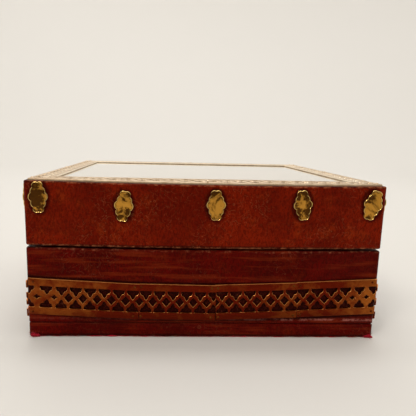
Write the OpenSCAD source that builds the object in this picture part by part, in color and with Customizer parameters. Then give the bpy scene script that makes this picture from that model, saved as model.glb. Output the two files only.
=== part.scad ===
// Leather jewellery case: a wooden base and a hinged wooden lid, both covered in
// leather, trimmed with pierced brass bands and six-lobed brass ornaments, with a
// mirror let into the lid, a felt underlay, a velvet lining and a lift-out tray.
// Millimetres, +Z up, front towards -Y. The origin is the centre of the underside.

/* [Case] */
// Width over the leather
case_w = 200; // [190:1:230]
// Depth over the leather
case_d = 170; // [160:1:190]
// Height from the underside to the leather of the lid's top
case_h = 90; // [88:0.5:100]
// Height of the joint line between base and lid
seam_z = 53.5; // [52:0.5:56]
// Width of the joint line
seam_gap = 1; // [0.8:0.1:1.4]
// Radius of the upright leather corners
corner_r = 2.5; // [2:0.1:4]
// Thickness of the wooden walls
wall_t = 5; // [5:0.5:6]
// Thickness of the floor board and the lid's top board
board_t = 4; // [3:0.5:4]
// Thickness of the leather
leather_t = 1.2; // [1:0.1:1.4]
// Thickness of the felt underlay
felt_t = 1.2; // [1:0.1:2]
// How far the felt stands out past the leather
felt_proud = 0.4; // [0:0.1:1]
// Thickness of the velvet lining
velvet_t = 1; // [0.6:0.1:1.2]

/* [Lid top] */
// Width of the brass strips round the mirror
strip_w = 12; // [10:0.5:13]
// Distance from the lid's edge to the strips
strip_inset = 2; // [1:0.5:3]
// How far the strips lap over the mirror's edge
strip_lap = 1.5; // [1:0.1:3]
// Thickness of the mirror pane
mirror_t = 2.2; // [2:0.1:3]
// Thickness of the padded lining under the lid
pad_t = 5; // [3:0.5:6]

/* [Brass band] */
// Height of the band on the base
band_h = 21; // [18:0.5:22]
// Height of the band's middle above the underside
band_z = 22.5; // [20:0.5:26]
// Thickness of the brass sheet in bands and strips
sheet_t = 1.1; // [0.6:0.1:1.2]
// Width of one repeat of the pierced pattern
pitch = 8; // [7:0.5:10]
// Gap left at each end of a side's bands
band_end_gap = 1.5; // [1:0.5:6]

/* [Ornaments] */
// Thickness of an ornament
ornament_t = 1.3; // [1:0.1:1.6]
// Depth of the dished face inside the ornament's rim
dish_depth = 0.5; // [0.3:0.1:0.7]
// Width of the ornament's raised rim
rim_w = 0.6; // [0.5:0.1:0.8]
// Length of the prongs behind an ornament
prong_l = 5; // [4:0.5:5.5]

/* [Hinges] */
// Distance of each hinge from the middle of the back
hinge_x = 62; // [50:1:75]
// Length of a hinge's barrel
hinge_w = 26; // [22:1:30]
// Height of a hinge leaf
leaf_h = 10.5; // [9:0.5:12]
// Thickness of a hinge leaf
leaf_t = 0.8; // [0.8:0.1:1]
// Radius of the hinge knuckles
knuckle_r = 2; // [1.9:0.1:2.2]
// Radius of the hinge pins
hinge_pin_r = 1; // [0.8:0.1:1.1]

/* [Tray] */
// Height of the tray
tray_h = 21; // [18:0.5:22]
// Thickness of the tray's walls and floor
tray_t = 2.5; // [2:0.5:3]
// Space between the tray and the lining at each side
tray_side_gap = 1.5; // [1:0.1:2]
// Space between the tray and the lining at front and back
tray_end_gap = 2; // [1.8:0.1:3]
// Number of ring rolls
roll_count = 5; // [3:1:5]
// Radius of a ring roll
roll_r = 6; // [4:0.5:6]

/* [Hidden] */
$fn = 48;

// Sides of the case in the order that on_side() turns through them
FRONT = 0;
RIGHT = 1;
BACK = 2;
LEFT = 3;

// Heights
base_top = seam_z - seam_gap / 2;
lid_bottom = seam_z + seam_gap / 2;
base_wall_top = base_top - leather_t;
lid_wall_bottom = lid_bottom + leather_t;
lid_board_top = case_h - leather_t;
lid_board_bottom = lid_board_top - board_t;
floor_top = felt_t + board_t;
lining_top = base_wall_top - 2;

// Widths and depths of the wooden carcass and of the space inside it
carcass_w = case_w - 2 * leather_t;
carcass_d = case_d - 2 * leather_t;
inner_w = carcass_w - 2 * wall_t;
inner_d = carcass_d - 2 * wall_t;
lined_w = inner_w - 2 * velvet_t;
lined_d = inner_d - 2 * velvet_t;

// Mirror, held down by the inner edges of the strips
mirror_w = case_w - 2 * (strip_inset + strip_w - strip_lap);
mirror_d = case_d - 2 * (strip_inset + strip_w - strip_lap);
mirror_bottom = case_h - mirror_t;

// Small fastenings
pin_r = 0.45;
pin_l = 4.5;
pin_head_r = 0.8;
pin_crown_r = 0.4;
pin_head_t = 0.35;
strip_pin_l = 3.5;
prong_r = 0.45;
prong_spacing = 7;
screw_r = 0.8;
screw_head_r = 1.6;
screw_l = 4.5;
screw_spacing = 14;
slot_w = 0.5;
slot_depth = 0.35;
leaf_corner_r = 2.5;

// Lengths of band on the front: middle x, length, height above band_z, tilt.
// They were cut from a longer band and butted by eye.
front_bands = [
  [-68.4, 60.2, 0.85, -2.8], [-16.2, 43.8, -0.75, -0.8],
  [29.5, 47, 0.1, 2.2], [76, 45.4, 2.4, 3],
];
side_band_l = case_d - 2 * band_end_gap;
back_band_l = case_w - 2 * band_end_gap;

// Ornaments along each side of the lid: along the side, height, tilt
front_ornaments = [
  [-92, 81, 2], [-45.9, 76.8, -7], [4.7, 78, 1.5], [53, 78.8, 8], [92.3, 79.5, -15],
];
right_ornaments = [[-78, 80, -6], [-27, 78, 5], [25, 78.6, -3], [77, 79.4, 8]];
back_ornaments = [
  [-92, 79.4, 6], [-45, 78, -4], [1, 77.6, 3], [47, 78.6, -8], [93, 80, 4],
];
left_ornaments = [[-77, 79, 4], [-26, 77.6, -6], [26, 78.4, 3], [78, 80.6, -5]];

// Six lobes and a body, as centre x, centre z and radius, mirrored left to right
lobes = [
  [1.45, 6.35, 2.25], [2.85, 0.2, 2.65], [1.25, -6.55, 2.05],
  [0.6, 3.4, 2.5], [0.5, -3.6, 2.2],
];

// Hinges
pivot_y = case_d / 2 + 2.2;
pivot_z = seam_z;
knuckle_gap = 0.2;
knuckle_l = (hinge_w - 2 * knuckle_gap) / 3;
knuckle_clear = 0.4;
leaf_margin = 0.1;
pin_running_clear = 0.05;

// Tray and what it rests on
rest_t = 4;
rest_h = 22.8;
rest_top = floor_top + velvet_t + rest_h;
tray_z = rest_top + 0.2;
tray_w = lined_w - 2 * tray_side_gap;
tray_d = lined_d - 2 * tray_end_gap;
tray_in_w = tray_w - 2 * tray_t;
tray_in_d = tray_d - 2 * tray_t;
tray_bed_z = tray_z + tray_t + velvet_t;
divider_t = 2.5;
right_divider_y = 15;
roll_pitch = 13.6;
roll_l = tray_in_w / 2 - divider_t / 2 - 2;
roll_flat = 0.6;
ring_bed_t = 2;
quarter_d = tray_in_d / 2 - divider_t / 2;
tab_w = 14;
tab_t = 0.8;
tab_h = 13;
base_divider_t = 3;
base_divider_h = 20;

leather_colour = [0.36, 0.09, 0.03];
dark_leather = [0.28, 0.06, 0.02];
brass_colour = [0.62, 0.42, 0.14];
wood_colour = [0.72, 0.56, 0.36];
velvet_colour = [0.45, 0.03, 0.06];
felt_colour = [0.75, 0.05, 0.09];
mirror_colour = [0.87, 0.85, 0.79];

// ---------------------------------------------------------------- helpers

// A rectangle with round corners, centred
module round_rect(w, d, r) {
  square([w - 2 * r, d], center = true);
  square([w, d - 2 * r], center = true);
  for (x = [-1, 1], y = [-1, 1])
    translate([x * (w / 2 - r), y * (d / 2 - r)]) circle(r);
}

// An upright block with round corners between two heights
module round_block(w, d, r, z0, z1) {
  translate([0, 0, z0]) linear_extrude(z1 - z0) round_rect(w, d, r);
}

// An upright block with square corners between two heights
module block(w, d, z0, z1) {
  translate([-w / 2, -d / 2, z0]) cube([w, d, z1 - z0]);
}

// Draws in a side's own frame: x along the side, z up, outwards is -y
module on_side(side) {
  reach = (side == FRONT || side == BACK) ? case_d / 2 : case_w / 2;
  rotate(90 * side) translate([0, -reach, 0]) children();
}

// Draws in the frame of one hinge: x along its barrel, y and z from its pivot
module at_hinge(side) {
  translate([side * hinge_x, pivot_y, pivot_z]) children();
}

// A rod along the outward direction of a side, from depth in to length out
module rod(r, depth, out) {
  translate([0, depth, 0]) rotate([90, 0, 0]) cylinder(r = r, h = depth + out);
}

// ------------------------------------------------------- pierced brass sheet

// Openings of the lattice: a triangle above and below each crossing and a
// diamond between neighbouring crossings; x runs along and y up from the edge
module lattice_openings(length, height, rail_low, rail_high) {
  zone = height - rail_low - rail_high;
  middle = rail_low + zone / 2;
  count = floor(length / pitch);
  apex = 0.17 * zone;
  half = 0.36 * pitch;
  for (i = [0:count - 1]) {
    x = (i - (count - 1) / 2) * pitch;
    polygon([[x - half, rail_low], [x + half, rail_low], [x, middle - apex]]);
    polygon([[x - half, height - rail_high], [x, middle + apex],
             [x + half, height - rail_high]]);
  }
  for (i = [1:count - 1]) {
    x = (i - count / 2) * pitch;
    polygon([[x - 0.2 * pitch, middle], [x, middle - apex],
             [x + 0.2 * pitch, middle], [x, middle + apex]]);
  }
}

// A length of band in a side's frame: middle x, length, lift and tilt
module band(place) {
  translate([place[0], 0, band_z + place[2]]) rotate([90, -place[3], 0])
    difference() {
      linear_extrude(sheet_t) translate([0, -band_h / 2]) difference() {
        translate([-place[1] / 2, 0]) square([place[1], band_h]);
        lattice_openings(place[1] - 2, band_h, 4.2, 3.4);
      }
      band_pin_places(place) translate([0, 0, -1]) cylinder(r = pin_r, h = 3);
    }
}

// The four pin positions of a length, in the plane of its sheet
module band_pin_places(place) {
  for (x = [-1, 1], y = [-1, 1])
    translate([x * (place[1] / 2 - 1.8), y * (band_h / 2 - 1.7), 0]) children();
}

// Pins of one length, or with drill = true the holes that they need
module band_fixings(place, drill = false) {
  translate([place[0], 0, band_z + place[2]]) rotate([90, -place[3], 0])
    band_pin_places(place) {
      translate([0, 0, -pin_l]) cylinder(r = pin_r, h = pin_l + sheet_t);
      if (!drill)
        translate([0, 0, sheet_t])
          cylinder(r1 = pin_head_r, r2 = pin_crown_r, h = pin_head_t);
    }
}

// All the band pins, or their holes
module all_band_fixings(drill = false) {
  for (place = front_bands) on_side(FRONT) band_fixings(place, drill);
  for (side = [RIGHT, LEFT]) on_side(side) band_fixings([0, side_band_l, 0, 0], drill);
  on_side(BACK) band_fixings([0, back_band_l, 0, 0], drill);
}

// Length of the strip on a side, from mitre point to mitre point
function strip_length(side) =
  ((side == FRONT || side == BACK) ? case_w : case_d) - 2 * strip_inset;

// Pin positions of a strip, seen from above with the outer edge at y = 0
module strip_pin_places(length) {
  for (x = [-1, 0, 1])
    translate([x * (length / 2 - 4), 1.1, 0]) children();
}

// Draws in the frame of a strip: x along it, y inwards, z from the leather up
module on_top(side) {
  on_side(side) translate([0, strip_inset, case_h]) children();
}

// A mitred strip on the lid's top
module strip(side) {
  length = strip_length(side);
  on_top(side) difference() {
    linear_extrude(sheet_t) difference() {
      polygon([[-length / 2, 0], [length / 2, 0],
               [length / 2 - strip_w, strip_w], [strip_w - length / 2, strip_w]]);
      lattice_openings(length - 2 * strip_w + pitch / 2, strip_w, 2, 2);
    }
    strip_pin_places(length) translate([0, 0, -1]) cylinder(r = pin_r, h = 3);
  }
}

// Pins of the strips, or their holes
module strip_fixings(drill = false) {
  for (side = [FRONT, RIGHT, BACK, LEFT]) on_top(side)
    strip_pin_places(strip_length(side)) {
      translate([0, 0, -strip_pin_l]) cylinder(r = pin_r, h = strip_pin_l + sheet_t);
      if (!drill)
        translate([0, 0, sheet_t])
          cylinder(r1 = pin_head_r, r2 = pin_crown_r, h = pin_head_t);
    }
}

// ---------------------------------------------------------------- ornaments

// The six-lobed outline, drawn in by an inset
module lobed_outline(inset) {
  for (lobe = lobes, side = [-1, 1])
    translate([side * lobe[0], lobe[1]]) circle(lobe[2] - inset);
}

// The two prongs behind an ornament
module prongs() {
  for (y = [-1, 1])
    translate([0, y * prong_spacing / 2, -prong_l]) cylinder(r = prong_r, h = prong_l);
}

// An ornament in a side's frame: along the side, height, tilt
module ornament(place) {
  translate([place[0], 0, place[1]]) rotate([90, 0, 0]) rotate(place[2]) {
    difference() {
      linear_extrude(ornament_t) lobed_outline(0);
      translate([0, 0, ornament_t - dish_depth]) linear_extrude(2) lobed_outline(rim_w);
    }
    prongs();
  }
}

// The prong holes of one side's ornaments
module prong_holes(side, places) {
  on_side(side) for (place = places)
    translate([place[0], 0, place[1]]) rotate([90, 0, 0]) rotate(place[2]) prongs();
}

module all_prong_holes() {
  prong_holes(FRONT, front_ornaments);
  prong_holes(RIGHT, right_ornaments);
  prong_holes(BACK, back_ornaments);
  prong_holes(LEFT, left_ornaments);
}

// ------------------------------------------------------------------- hinges

// A stretch of the barrel's cylinder
module barrel(r, x0, x1) {
  translate([x0, 0, 0]) rotate([0, 90, 0]) cylinder(r = r, h = x1 - x0);
}

// The stretches of barrel that belong to the base leaf: the two outer knuckles
module base_stretches(r, grow = 0) {
  for (side = [-1, 1])
    barrel(r, side > 0 ? hinge_w / 2 - knuckle_l - grow : -hinge_w / 2 - grow,
           side > 0 ? hinge_w / 2 + grow : knuckle_l - hinge_w / 2 + grow);
}

// The stretch that belongs to the lid leaf: the middle knuckle
module lid_stretch(r, grow = 0) {
  barrel(r, -knuckle_l / 2 - grow, knuckle_l / 2 + grow);
}

// Screw positions of one leaf; up is 1 for the lid's leaf and -1 for the base's
module screw_places(up) {
  for (x = [-1, 1])
    translate([x * screw_spacing / 2, case_d / 2 - pivot_y, up * (leaf_h / 2 + 1.2)])
      children();
}

// A countersunk screw pointing into the case, with its head's face at the leaf's
module screw() {
  rotate([90, 0, 0]) {
    cylinder(r = screw_r, h = screw_l);
    translate([0, 0, -leaf_t]) cylinder(r1 = screw_head_r, r2 = screw_r, h = leaf_t);
  }
}

// The same screw with the slot across its head
module slotted_screw() {
  difference() {
    screw();
    translate([-2 * screw_head_r, leaf_t - slot_depth, -slot_w / 2])
      cube([4 * screw_head_r, 2, slot_w]);
  }
}

// The flat plate of a leaf, flush on the leather; up as above
module leaf_plate(up) {
  low = up > 0 ? leaf_margin + seam_gap / 2 : -leaf_h;
  high = up > 0 ? leaf_h : -leaf_margin - seam_gap / 2;
  round_z = up > 0 ? high - leaf_corner_r : low + leaf_corner_r;
  translate([0, case_d / 2 - pivot_y + leaf_t, 0]) rotate([90, 0, 0])
    linear_extrude(leaf_t) {
      translate([leaf_corner_r - hinge_w / 2, low])
        square([hinge_w - 2 * leaf_corner_r, high - low]);
      translate([-hinge_w / 2, up > 0 ? low : round_z])
        square([hinge_w, high - low - leaf_corner_r]);
      for (x = [-1, 1])
        translate([x * (hinge_w / 2 - leaf_corner_r), round_z]) circle(leaf_corner_r);
    }
}

module base_leaf(side) {
  color(brass_colour) at_hinge(side) difference() {
    union() {
      difference() {
        leaf_plate(-1);
        lid_stretch(knuckle_r + knuckle_clear, knuckle_gap);
      }
      base_stretches(knuckle_r);
    }
    base_stretches(hinge_pin_r, 1);
    screw_places(-1) screw();
  }
}

module lid_leaf(side) {
  color(brass_colour) at_hinge(side) difference() {
    union() {
      difference() {
        leaf_plate(1);
        base_stretches(knuckle_r + knuckle_clear, knuckle_gap);
      }
      lid_stretch(knuckle_r);
    }
    lid_stretch(hinge_pin_r + pin_running_clear, 1);
    screw_places(1) screw();
  }
}

module hinge_screws(up) {
  for (side = [-1, 1]) at_hinge(side) screw_places(up) slotted_screw();
}

// --------------------------------------------------------------- base pieces

module base_felt() {
  color(felt_colour)
    round_block(case_w + 2 * felt_proud, case_d + 2 * felt_proud, corner_r, 0, felt_t);
}

module base_floor_board() {
  color(wood_colour) block(inner_w, inner_d, felt_t, floor_top);
}

// The ring of wall boards between two heights, with round outer corners
module wall_ring(z0, z1) {
  difference() {
    round_block(carcass_w, carcass_d, corner_r - leather_t, z0, z1);
    block(inner_w, inner_d, z0 - 1, z1 + 1);
  }
}

// One wall board: front and back run the full width, left and right fit between
module wall_board(side, z0, z1) {
  long_side = side == FRONT || side == BACK;
  length = long_side ? carcass_w : inner_d;
  intersection() {
    wall_ring(z0, z1);
    on_side(side) translate([-length / 2, leather_t, z0]) cube([length, wall_t, z1 - z0]);
  }
}

module base_board(side) {
  color(wood_colour) difference() {
    wall_board(side, felt_t, base_wall_top);
    all_band_fixings(drill = true);
    hinge_screws(-1);
  }
}

module base_leather_cover() {
  color(leather_colour) difference() {
    round_block(case_w, case_d, corner_r, felt_t, base_top);
    round_block(carcass_w, carcass_d, corner_r - leather_t, felt_t - 1, base_wall_top);
    block(inner_w, inner_d, felt_t, base_top + 1);
    all_band_fixings(drill = true);
    hinge_screws(-1);
  }
}

module base_floor_lining() {
  color(velvet_colour) block(inner_w, inner_d, floor_top, floor_top + velvet_t);
}

module base_wall_lining() {
  color(velvet_colour) difference() {
    block(inner_w, inner_d, floor_top + velvet_t, lining_top);
    block(lined_w, lined_d, floor_top, lining_top + 1);
  }
}

module base_long_divider() {
  z0 = floor_top + velvet_t;
  color(velvet_colour)
    block(lined_w - 2 * rest_t, base_divider_t, z0, z0 + base_divider_h);
}

module base_cross_divider() {
  z0 = floor_top + velvet_t;
  color(velvet_colour) translate([-base_divider_t / 2, -lined_d / 2, z0])
    cube([base_divider_t, (lined_d - base_divider_t) / 2, base_divider_h]);
}

module tray_rest(side) {
  color(velvet_colour)
    translate([side * (lined_w / 2 - rest_t / 2), 0, 0])
      block(rest_t, lined_d, floor_top + velvet_t, rest_top);
}

module hinge_pins() {
  color(brass_colour) for (side = [-1, 1])
    at_hinge(side) barrel(hinge_pin_r, -hinge_w / 2, hinge_w / 2);
}

// ---------------------------------------------------------------- lid pieces

module lid_top_board() {
  color(wood_colour) difference() {
    round_block(carcass_w, carcass_d, corner_r - leather_t,
                lid_board_bottom, lid_board_top);
    block(mirror_w, mirror_d, mirror_bottom, case_h);
    strip_fixings(drill = true);
    all_prong_holes();
  }
}

module lid_board(side) {
  color(wood_colour) difference() {
    wall_board(side, lid_wall_bottom, lid_board_bottom);
    all_prong_holes();
    hinge_screws(1);
  }
}

module lid_leather_cover() {
  color(leather_colour) difference() {
    round_block(case_w, case_d, corner_r, lid_bottom, case_h);
    round_block(carcass_w, carcass_d, corner_r - leather_t,
                lid_wall_bottom, lid_board_top);
    block(inner_w, inner_d, lid_bottom - 1, lid_wall_bottom + 1);
    block(mirror_w, mirror_d, lid_board_top - 1, case_h + 1);
    strip_fixings(drill = true);
    all_prong_holes();
    hinge_screws(1);
  }
}

module lid_mirror() {
  color(mirror_colour) block(mirror_w, mirror_d, mirror_bottom, case_h);
}

module lid_wall_lining() {
  color(velvet_colour) difference() {
    block(inner_w, inner_d, lid_wall_bottom + 1, lid_board_bottom - pad_t);
    block(lined_w, lined_d, lid_wall_bottom, lid_board_bottom);
  }
}

// Places of the buttons that hold the padding
button_rows = [[-50, -35], [0, -35], [50, -35], [-25, 0], [25, 0],
               [-50, 35], [0, 35], [50, 35]];
button_r = 3;
button_t = 1.5;

module lid_padding() {
  color(velvet_colour) difference() {
    block(inner_w - 0.4, inner_d - 0.4, lid_board_bottom - pad_t, lid_board_bottom);
    for (place = button_rows)
      translate([place[0], place[1], lid_board_bottom - pad_t - 1])
        cylinder(r = button_r, h = 1 + button_t);
  }
}

module lid_pad_buttons() {
  color(velvet_colour) for (place = button_rows)
    translate([place[0], place[1], lid_board_bottom - pad_t])
      cylinder(r = button_r, h = button_t);
}

// --------------------------------------------------------------- tray pieces

module tray_floor() {
  color(wood_colour) block(tray_in_w, tray_in_d, tray_z, tray_z + tray_t);
}

module tray_walls() {
  color(dark_leather) difference() {
    block(tray_w, tray_d, tray_z, tray_z + tray_h);
    block(tray_in_w, tray_in_d, tray_z - 1, tray_z + tray_h + 1);
  }
}

module tray_floor_lining() {
  color(velvet_colour) block(tray_in_w, tray_in_d, tray_z + tray_t, tray_bed_z);
}

module tray_middle_divider() {
  color(velvet_colour) block(divider_t, tray_in_d, tray_bed_z, tray_z + tray_h - 2);
}

// A divider across one half of the tray
module half_divider(side, y) {
  length = tray_in_w / 2 - divider_t / 2;
  color(velvet_colour)
    translate([side * (divider_t / 2 + length / 2), y, 0])
      block(length, divider_t, tray_bed_z, tray_z + tray_h - 2);
}

module ring_roll_bed() {
  color(velvet_colour)
    translate([-(tray_in_w + divider_t) / 4, -(tray_in_d + divider_t) / 4, 0])
      block(roll_l, quarter_d - 0.4, tray_bed_z, tray_bed_z + ring_bed_t);
}

module ring_rolls() {
  bed_top = tray_bed_z + ring_bed_t;
  first = -(tray_in_d + divider_t) / 4 - roll_pitch * (roll_count - 1) / 2;
  color(velvet_colour) difference() {
    for (i = [0:roll_count - 1])
      translate([-(tray_in_w + divider_t) / 4, first + i * roll_pitch,
                 bed_top + roll_r - roll_flat])
        rotate([0, 90, 0]) cylinder(r = roll_r, h = roll_l, center = true);
    block(tray_in_w, tray_in_d, bed_top - roll_r, bed_top);
  }
}

module tray_pull_tabs() {
  color(leather_colour) for (side = [-1, 1])
    translate([side * (tray_in_w / 2 - tab_t / 2), side > 0 ? -20 : 30, 0])
      block(tab_t, tab_w, tray_z + tray_h + 2 - tab_h, tray_z + tray_h + 2);
}

// --------------------------------------------------------------------- nodes

base_felt();
base_floor_board();
base_board(FRONT);  // base_front_board
base_board(BACK);  // base_back_board
base_board(LEFT);  // base_left_board
base_board(RIGHT);  // base_right_board
base_leather_cover();
base_floor_lining();
base_wall_lining();
base_long_divider();
base_cross_divider();
tray_rest(-1);  // tray_rest_left
tray_rest(1);  // tray_rest_right
color(brass_colour) on_side(FRONT) band(front_bands[0]);  // band_front_1
color(brass_colour) on_side(FRONT) band(front_bands[1]);  // band_front_2
color(brass_colour) on_side(FRONT) band(front_bands[2]);  // band_front_3
color(brass_colour) on_side(FRONT) band(front_bands[3]);  // band_front_4
color(brass_colour) on_side(RIGHT) band([0, side_band_l, 0, 0]);  // band_right
color(brass_colour) on_side(BACK) band([0, back_band_l, 0, 0]);  // band_back
color(brass_colour) on_side(LEFT) band([0, side_band_l, 0, 0]);  // band_left
color(brass_colour) all_band_fixings();  // band_pins
base_leaf(-1);  // hinge_left_base_leaf
base_leaf(1);  // hinge_right_base_leaf
hinge_pins();
color(brass_colour) hinge_screws(-1);  // hinge_base_screws
lid_top_board();
lid_board(FRONT);  // lid_front_board
lid_board(BACK);  // lid_back_board
lid_board(LEFT);  // lid_left_board
lid_board(RIGHT);  // lid_right_board
lid_leather_cover();
lid_mirror();
color(brass_colour) strip(FRONT);  // strip_front
color(brass_colour) strip(RIGHT);  // strip_right
color(brass_colour) strip(BACK);  // strip_back
color(brass_colour) strip(LEFT);  // strip_left
color(brass_colour) strip_fixings();  // strip_pins
color(brass_colour) on_side(FRONT) ornament(front_ornaments[0]);  // ornament_front_1
color(brass_colour) on_side(FRONT) ornament(front_ornaments[1]);  // ornament_front_2
color(brass_colour) on_side(FRONT) ornament(front_ornaments[2]);  // ornament_front_3
color(brass_colour) on_side(FRONT) ornament(front_ornaments[3]);  // ornament_front_4
color(brass_colour) on_side(FRONT) ornament(front_ornaments[4]);  // ornament_front_5
color(brass_colour) on_side(RIGHT) for (place = right_ornaments) ornament(place);  // ornaments_right
color(brass_colour) on_side(BACK) for (place = back_ornaments) ornament(place);  // ornaments_back
color(brass_colour) on_side(LEFT) for (place = left_ornaments) ornament(place);  // ornaments_left
lid_wall_lining();
lid_padding();
lid_pad_buttons();
lid_leaf(-1);  // hinge_left_lid_leaf
lid_leaf(1);  // hinge_right_lid_leaf
color(brass_colour) hinge_screws(1);  // hinge_lid_screws
tray_floor();
tray_walls();
tray_floor_lining();
tray_middle_divider();
half_divider(-1, 0);  // tray_left_divider
half_divider(1, right_divider_y);  // tray_right_divider
ring_roll_bed();
ring_rolls();
tray_pull_tabs();
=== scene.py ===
"""Looks of a leather jewellery case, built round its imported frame.

Shapes are worked out in millimetres, in the case's own frame: +X to the right, -Y out of the
front, +Z up, origin under the middle. They are scaled to metres when their mesh is made.
"""
import math

import bmesh
import bpy
import numpy as np
from mathutils import Matrix, Vector


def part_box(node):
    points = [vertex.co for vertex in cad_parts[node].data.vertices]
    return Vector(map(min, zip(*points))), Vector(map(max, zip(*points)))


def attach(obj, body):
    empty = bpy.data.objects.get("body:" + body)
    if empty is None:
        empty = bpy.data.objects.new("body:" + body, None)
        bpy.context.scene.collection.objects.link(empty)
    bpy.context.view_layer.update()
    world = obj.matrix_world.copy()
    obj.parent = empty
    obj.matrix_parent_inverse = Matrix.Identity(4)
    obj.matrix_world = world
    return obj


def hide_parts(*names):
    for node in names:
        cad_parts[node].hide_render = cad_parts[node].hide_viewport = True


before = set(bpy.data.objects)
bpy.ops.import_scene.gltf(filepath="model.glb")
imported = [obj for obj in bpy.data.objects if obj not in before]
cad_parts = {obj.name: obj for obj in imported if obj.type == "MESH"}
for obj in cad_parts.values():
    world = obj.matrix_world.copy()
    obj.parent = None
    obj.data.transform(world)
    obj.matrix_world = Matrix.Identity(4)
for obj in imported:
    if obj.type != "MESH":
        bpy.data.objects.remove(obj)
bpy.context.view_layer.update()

MM = 0.001


def box_mm(node):
    """Lowest and highest corner of a CAD node, in millimetres."""
    low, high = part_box(node)
    return np.array(low) / MM, np.array(high) / MM


# ------------------------------------------------------------------ sizes from the frame
base_high = box_mm("base_leather_cover")[1]
lid_low, lid_high = box_mm("lid_leather_cover")
board_low, board_high = box_mm("base_front_board")
HALF_W, HALF_D = base_high[0], base_high[1]
BASE_TOP = base_high[2]
LID_BOTTOM, LID_TOP = lid_low[2], lid_high[2]
LEATHER_T = HALF_D + board_low[1]
WALL_IN = HALF_D + board_high[1]
CORNER_R = 1.6
SHEET_T = 1.1      # brass sheet of the bands
STRIP_T = 1.05     # brass sheet of the strips on the lid
SAG = 1.0          # how far the front edge hangs at its middle
FRONT, RIGHT, BACK, LEFT = range(4)


# ------------------------------------------------------------------ shape tools
def smooth(x):
    """Smooth step: 0 below 0, 1 above 1, 3x^2 - 2x^3 between."""
    x = np.clip(x, 0, 1)
    return x * x * (3 - 2 * x)


def waves(points, seed, size):
    """A gentle field from about -1 to 1: a sum of sines in seeded directions, with wavelengths
    between half of size and twice size."""
    rng = np.random.default_rng(seed)
    count = 7
    field = np.zeros(points.shape[:-1])
    for _ in range(count):
        direction = rng.normal(size=points.shape[-1])
        direction /= np.linalg.norm(direction)
        wavelength = size * 2 ** rng.uniform(-1, 1)
        field += np.sin(points @ direction * (2 * math.pi / wavelength) + rng.uniform(0, 6.28))
    return field / math.sqrt(count * 2)


def settle(points):
    """The old case's front edge hangs a little in the middle: z falls by SAG times a parabola
    across the width, fading out over 13 mm behind the front and towards the table."""
    front = smooth((13 - HALF_D - points[..., 1]) / 13)
    height = smooth(points[..., 2] / 45)
    out = points.copy()
    out[..., 2] -= SAG * front * height * (1 - (points[..., 0] / HALF_W) ** 2)
    return out


def on_side(side, points):
    """Turns a side's own frame (x along it, y inwards, z up) into the case's frame."""
    reach = HALF_D if side in (FRONT, BACK) else HALF_W
    x, y, z = points[..., 0], points[..., 1] - reach, points[..., 2]
    turned = {FRONT: (x, y), RIGHT: (-y, x), BACK: (-x, -y), LEFT: (y, -x)}[side]
    return np.stack([turned[0], turned[1], z], -1)


def grid_faces(rows, columns, wrap_rows, wrap_columns):
    """Quads of a grid of points whose index is row * columns + column."""
    r = np.arange(rows if wrap_rows else rows - 1)[:, None]
    c = np.arange(columns if wrap_columns else columns - 1)[None, :]
    r2, c2 = (r + 1) % rows, (c + 1) % columns
    corners = [r * columns + c, r * columns + c2, r2 * columns + c2, r2 * columns + c]
    return np.stack(corners, -1).reshape(-1, 4)


def surface(points, wrap_rows=False, wrap_columns=False, **values):
    """A grid of points (rows, columns, 3) as a part: its points, its quads, its values."""
    rows, columns = points.shape[:2]
    faces = grid_faces(rows, columns, wrap_rows, wrap_columns)
    flat = {k: np.broadcast_to(v, (rows, columns)).reshape(-1) for k, v in values.items()}
    return points.reshape(-1, 3), faces, flat


def join(parts):
    """Several parts as one."""
    names = sorted({k for part in parts for k in part[2]})
    sizes = [len(part[0]) for part in parts]
    starts = np.concatenate([[0], np.cumsum(sizes)[:-1]])
    points = np.concatenate([part[0] for part in parts])
    faces = np.concatenate([part[1] + s for part, s in zip(parts, starts)])
    values = {k: np.concatenate([part[2].get(k, np.zeros(n)) for part, n in zip(parts, sizes)])
              for k in names}
    return points, faces, values


def move(part, function):
    """A part with its points put through a function."""
    return function(part[0]), part[1], part[2]


def weld(mesh, planes=()):
    """Merges a mesh's doubles, cuts it at the given planes (point, normal: what lies beyond the
    normal goes) and caps the cuts, then points its faces outwards."""
    bm = bmesh.new()
    bm.from_mesh(mesh)
    bmesh.ops.remove_doubles(bm, verts=bm.verts, dist=2e-7)
    for point, normal in planes:
        everything = bm.verts[:] + bm.edges[:] + bm.faces[:]
        bmesh.ops.bisect_plane(bm, geom=everything, dist=1e-8, plane_co=Vector(point) * MM,
                               plane_no=Vector(normal), clear_outer=True)
        bmesh.ops.holes_fill(bm, edges=[e for e in bm.edges if e.is_boundary], sides=0)
    bmesh.ops.recalc_face_normals(bm, faces=bm.faces)
    bm.to_mesh(mesh)
    bm.free()


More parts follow.
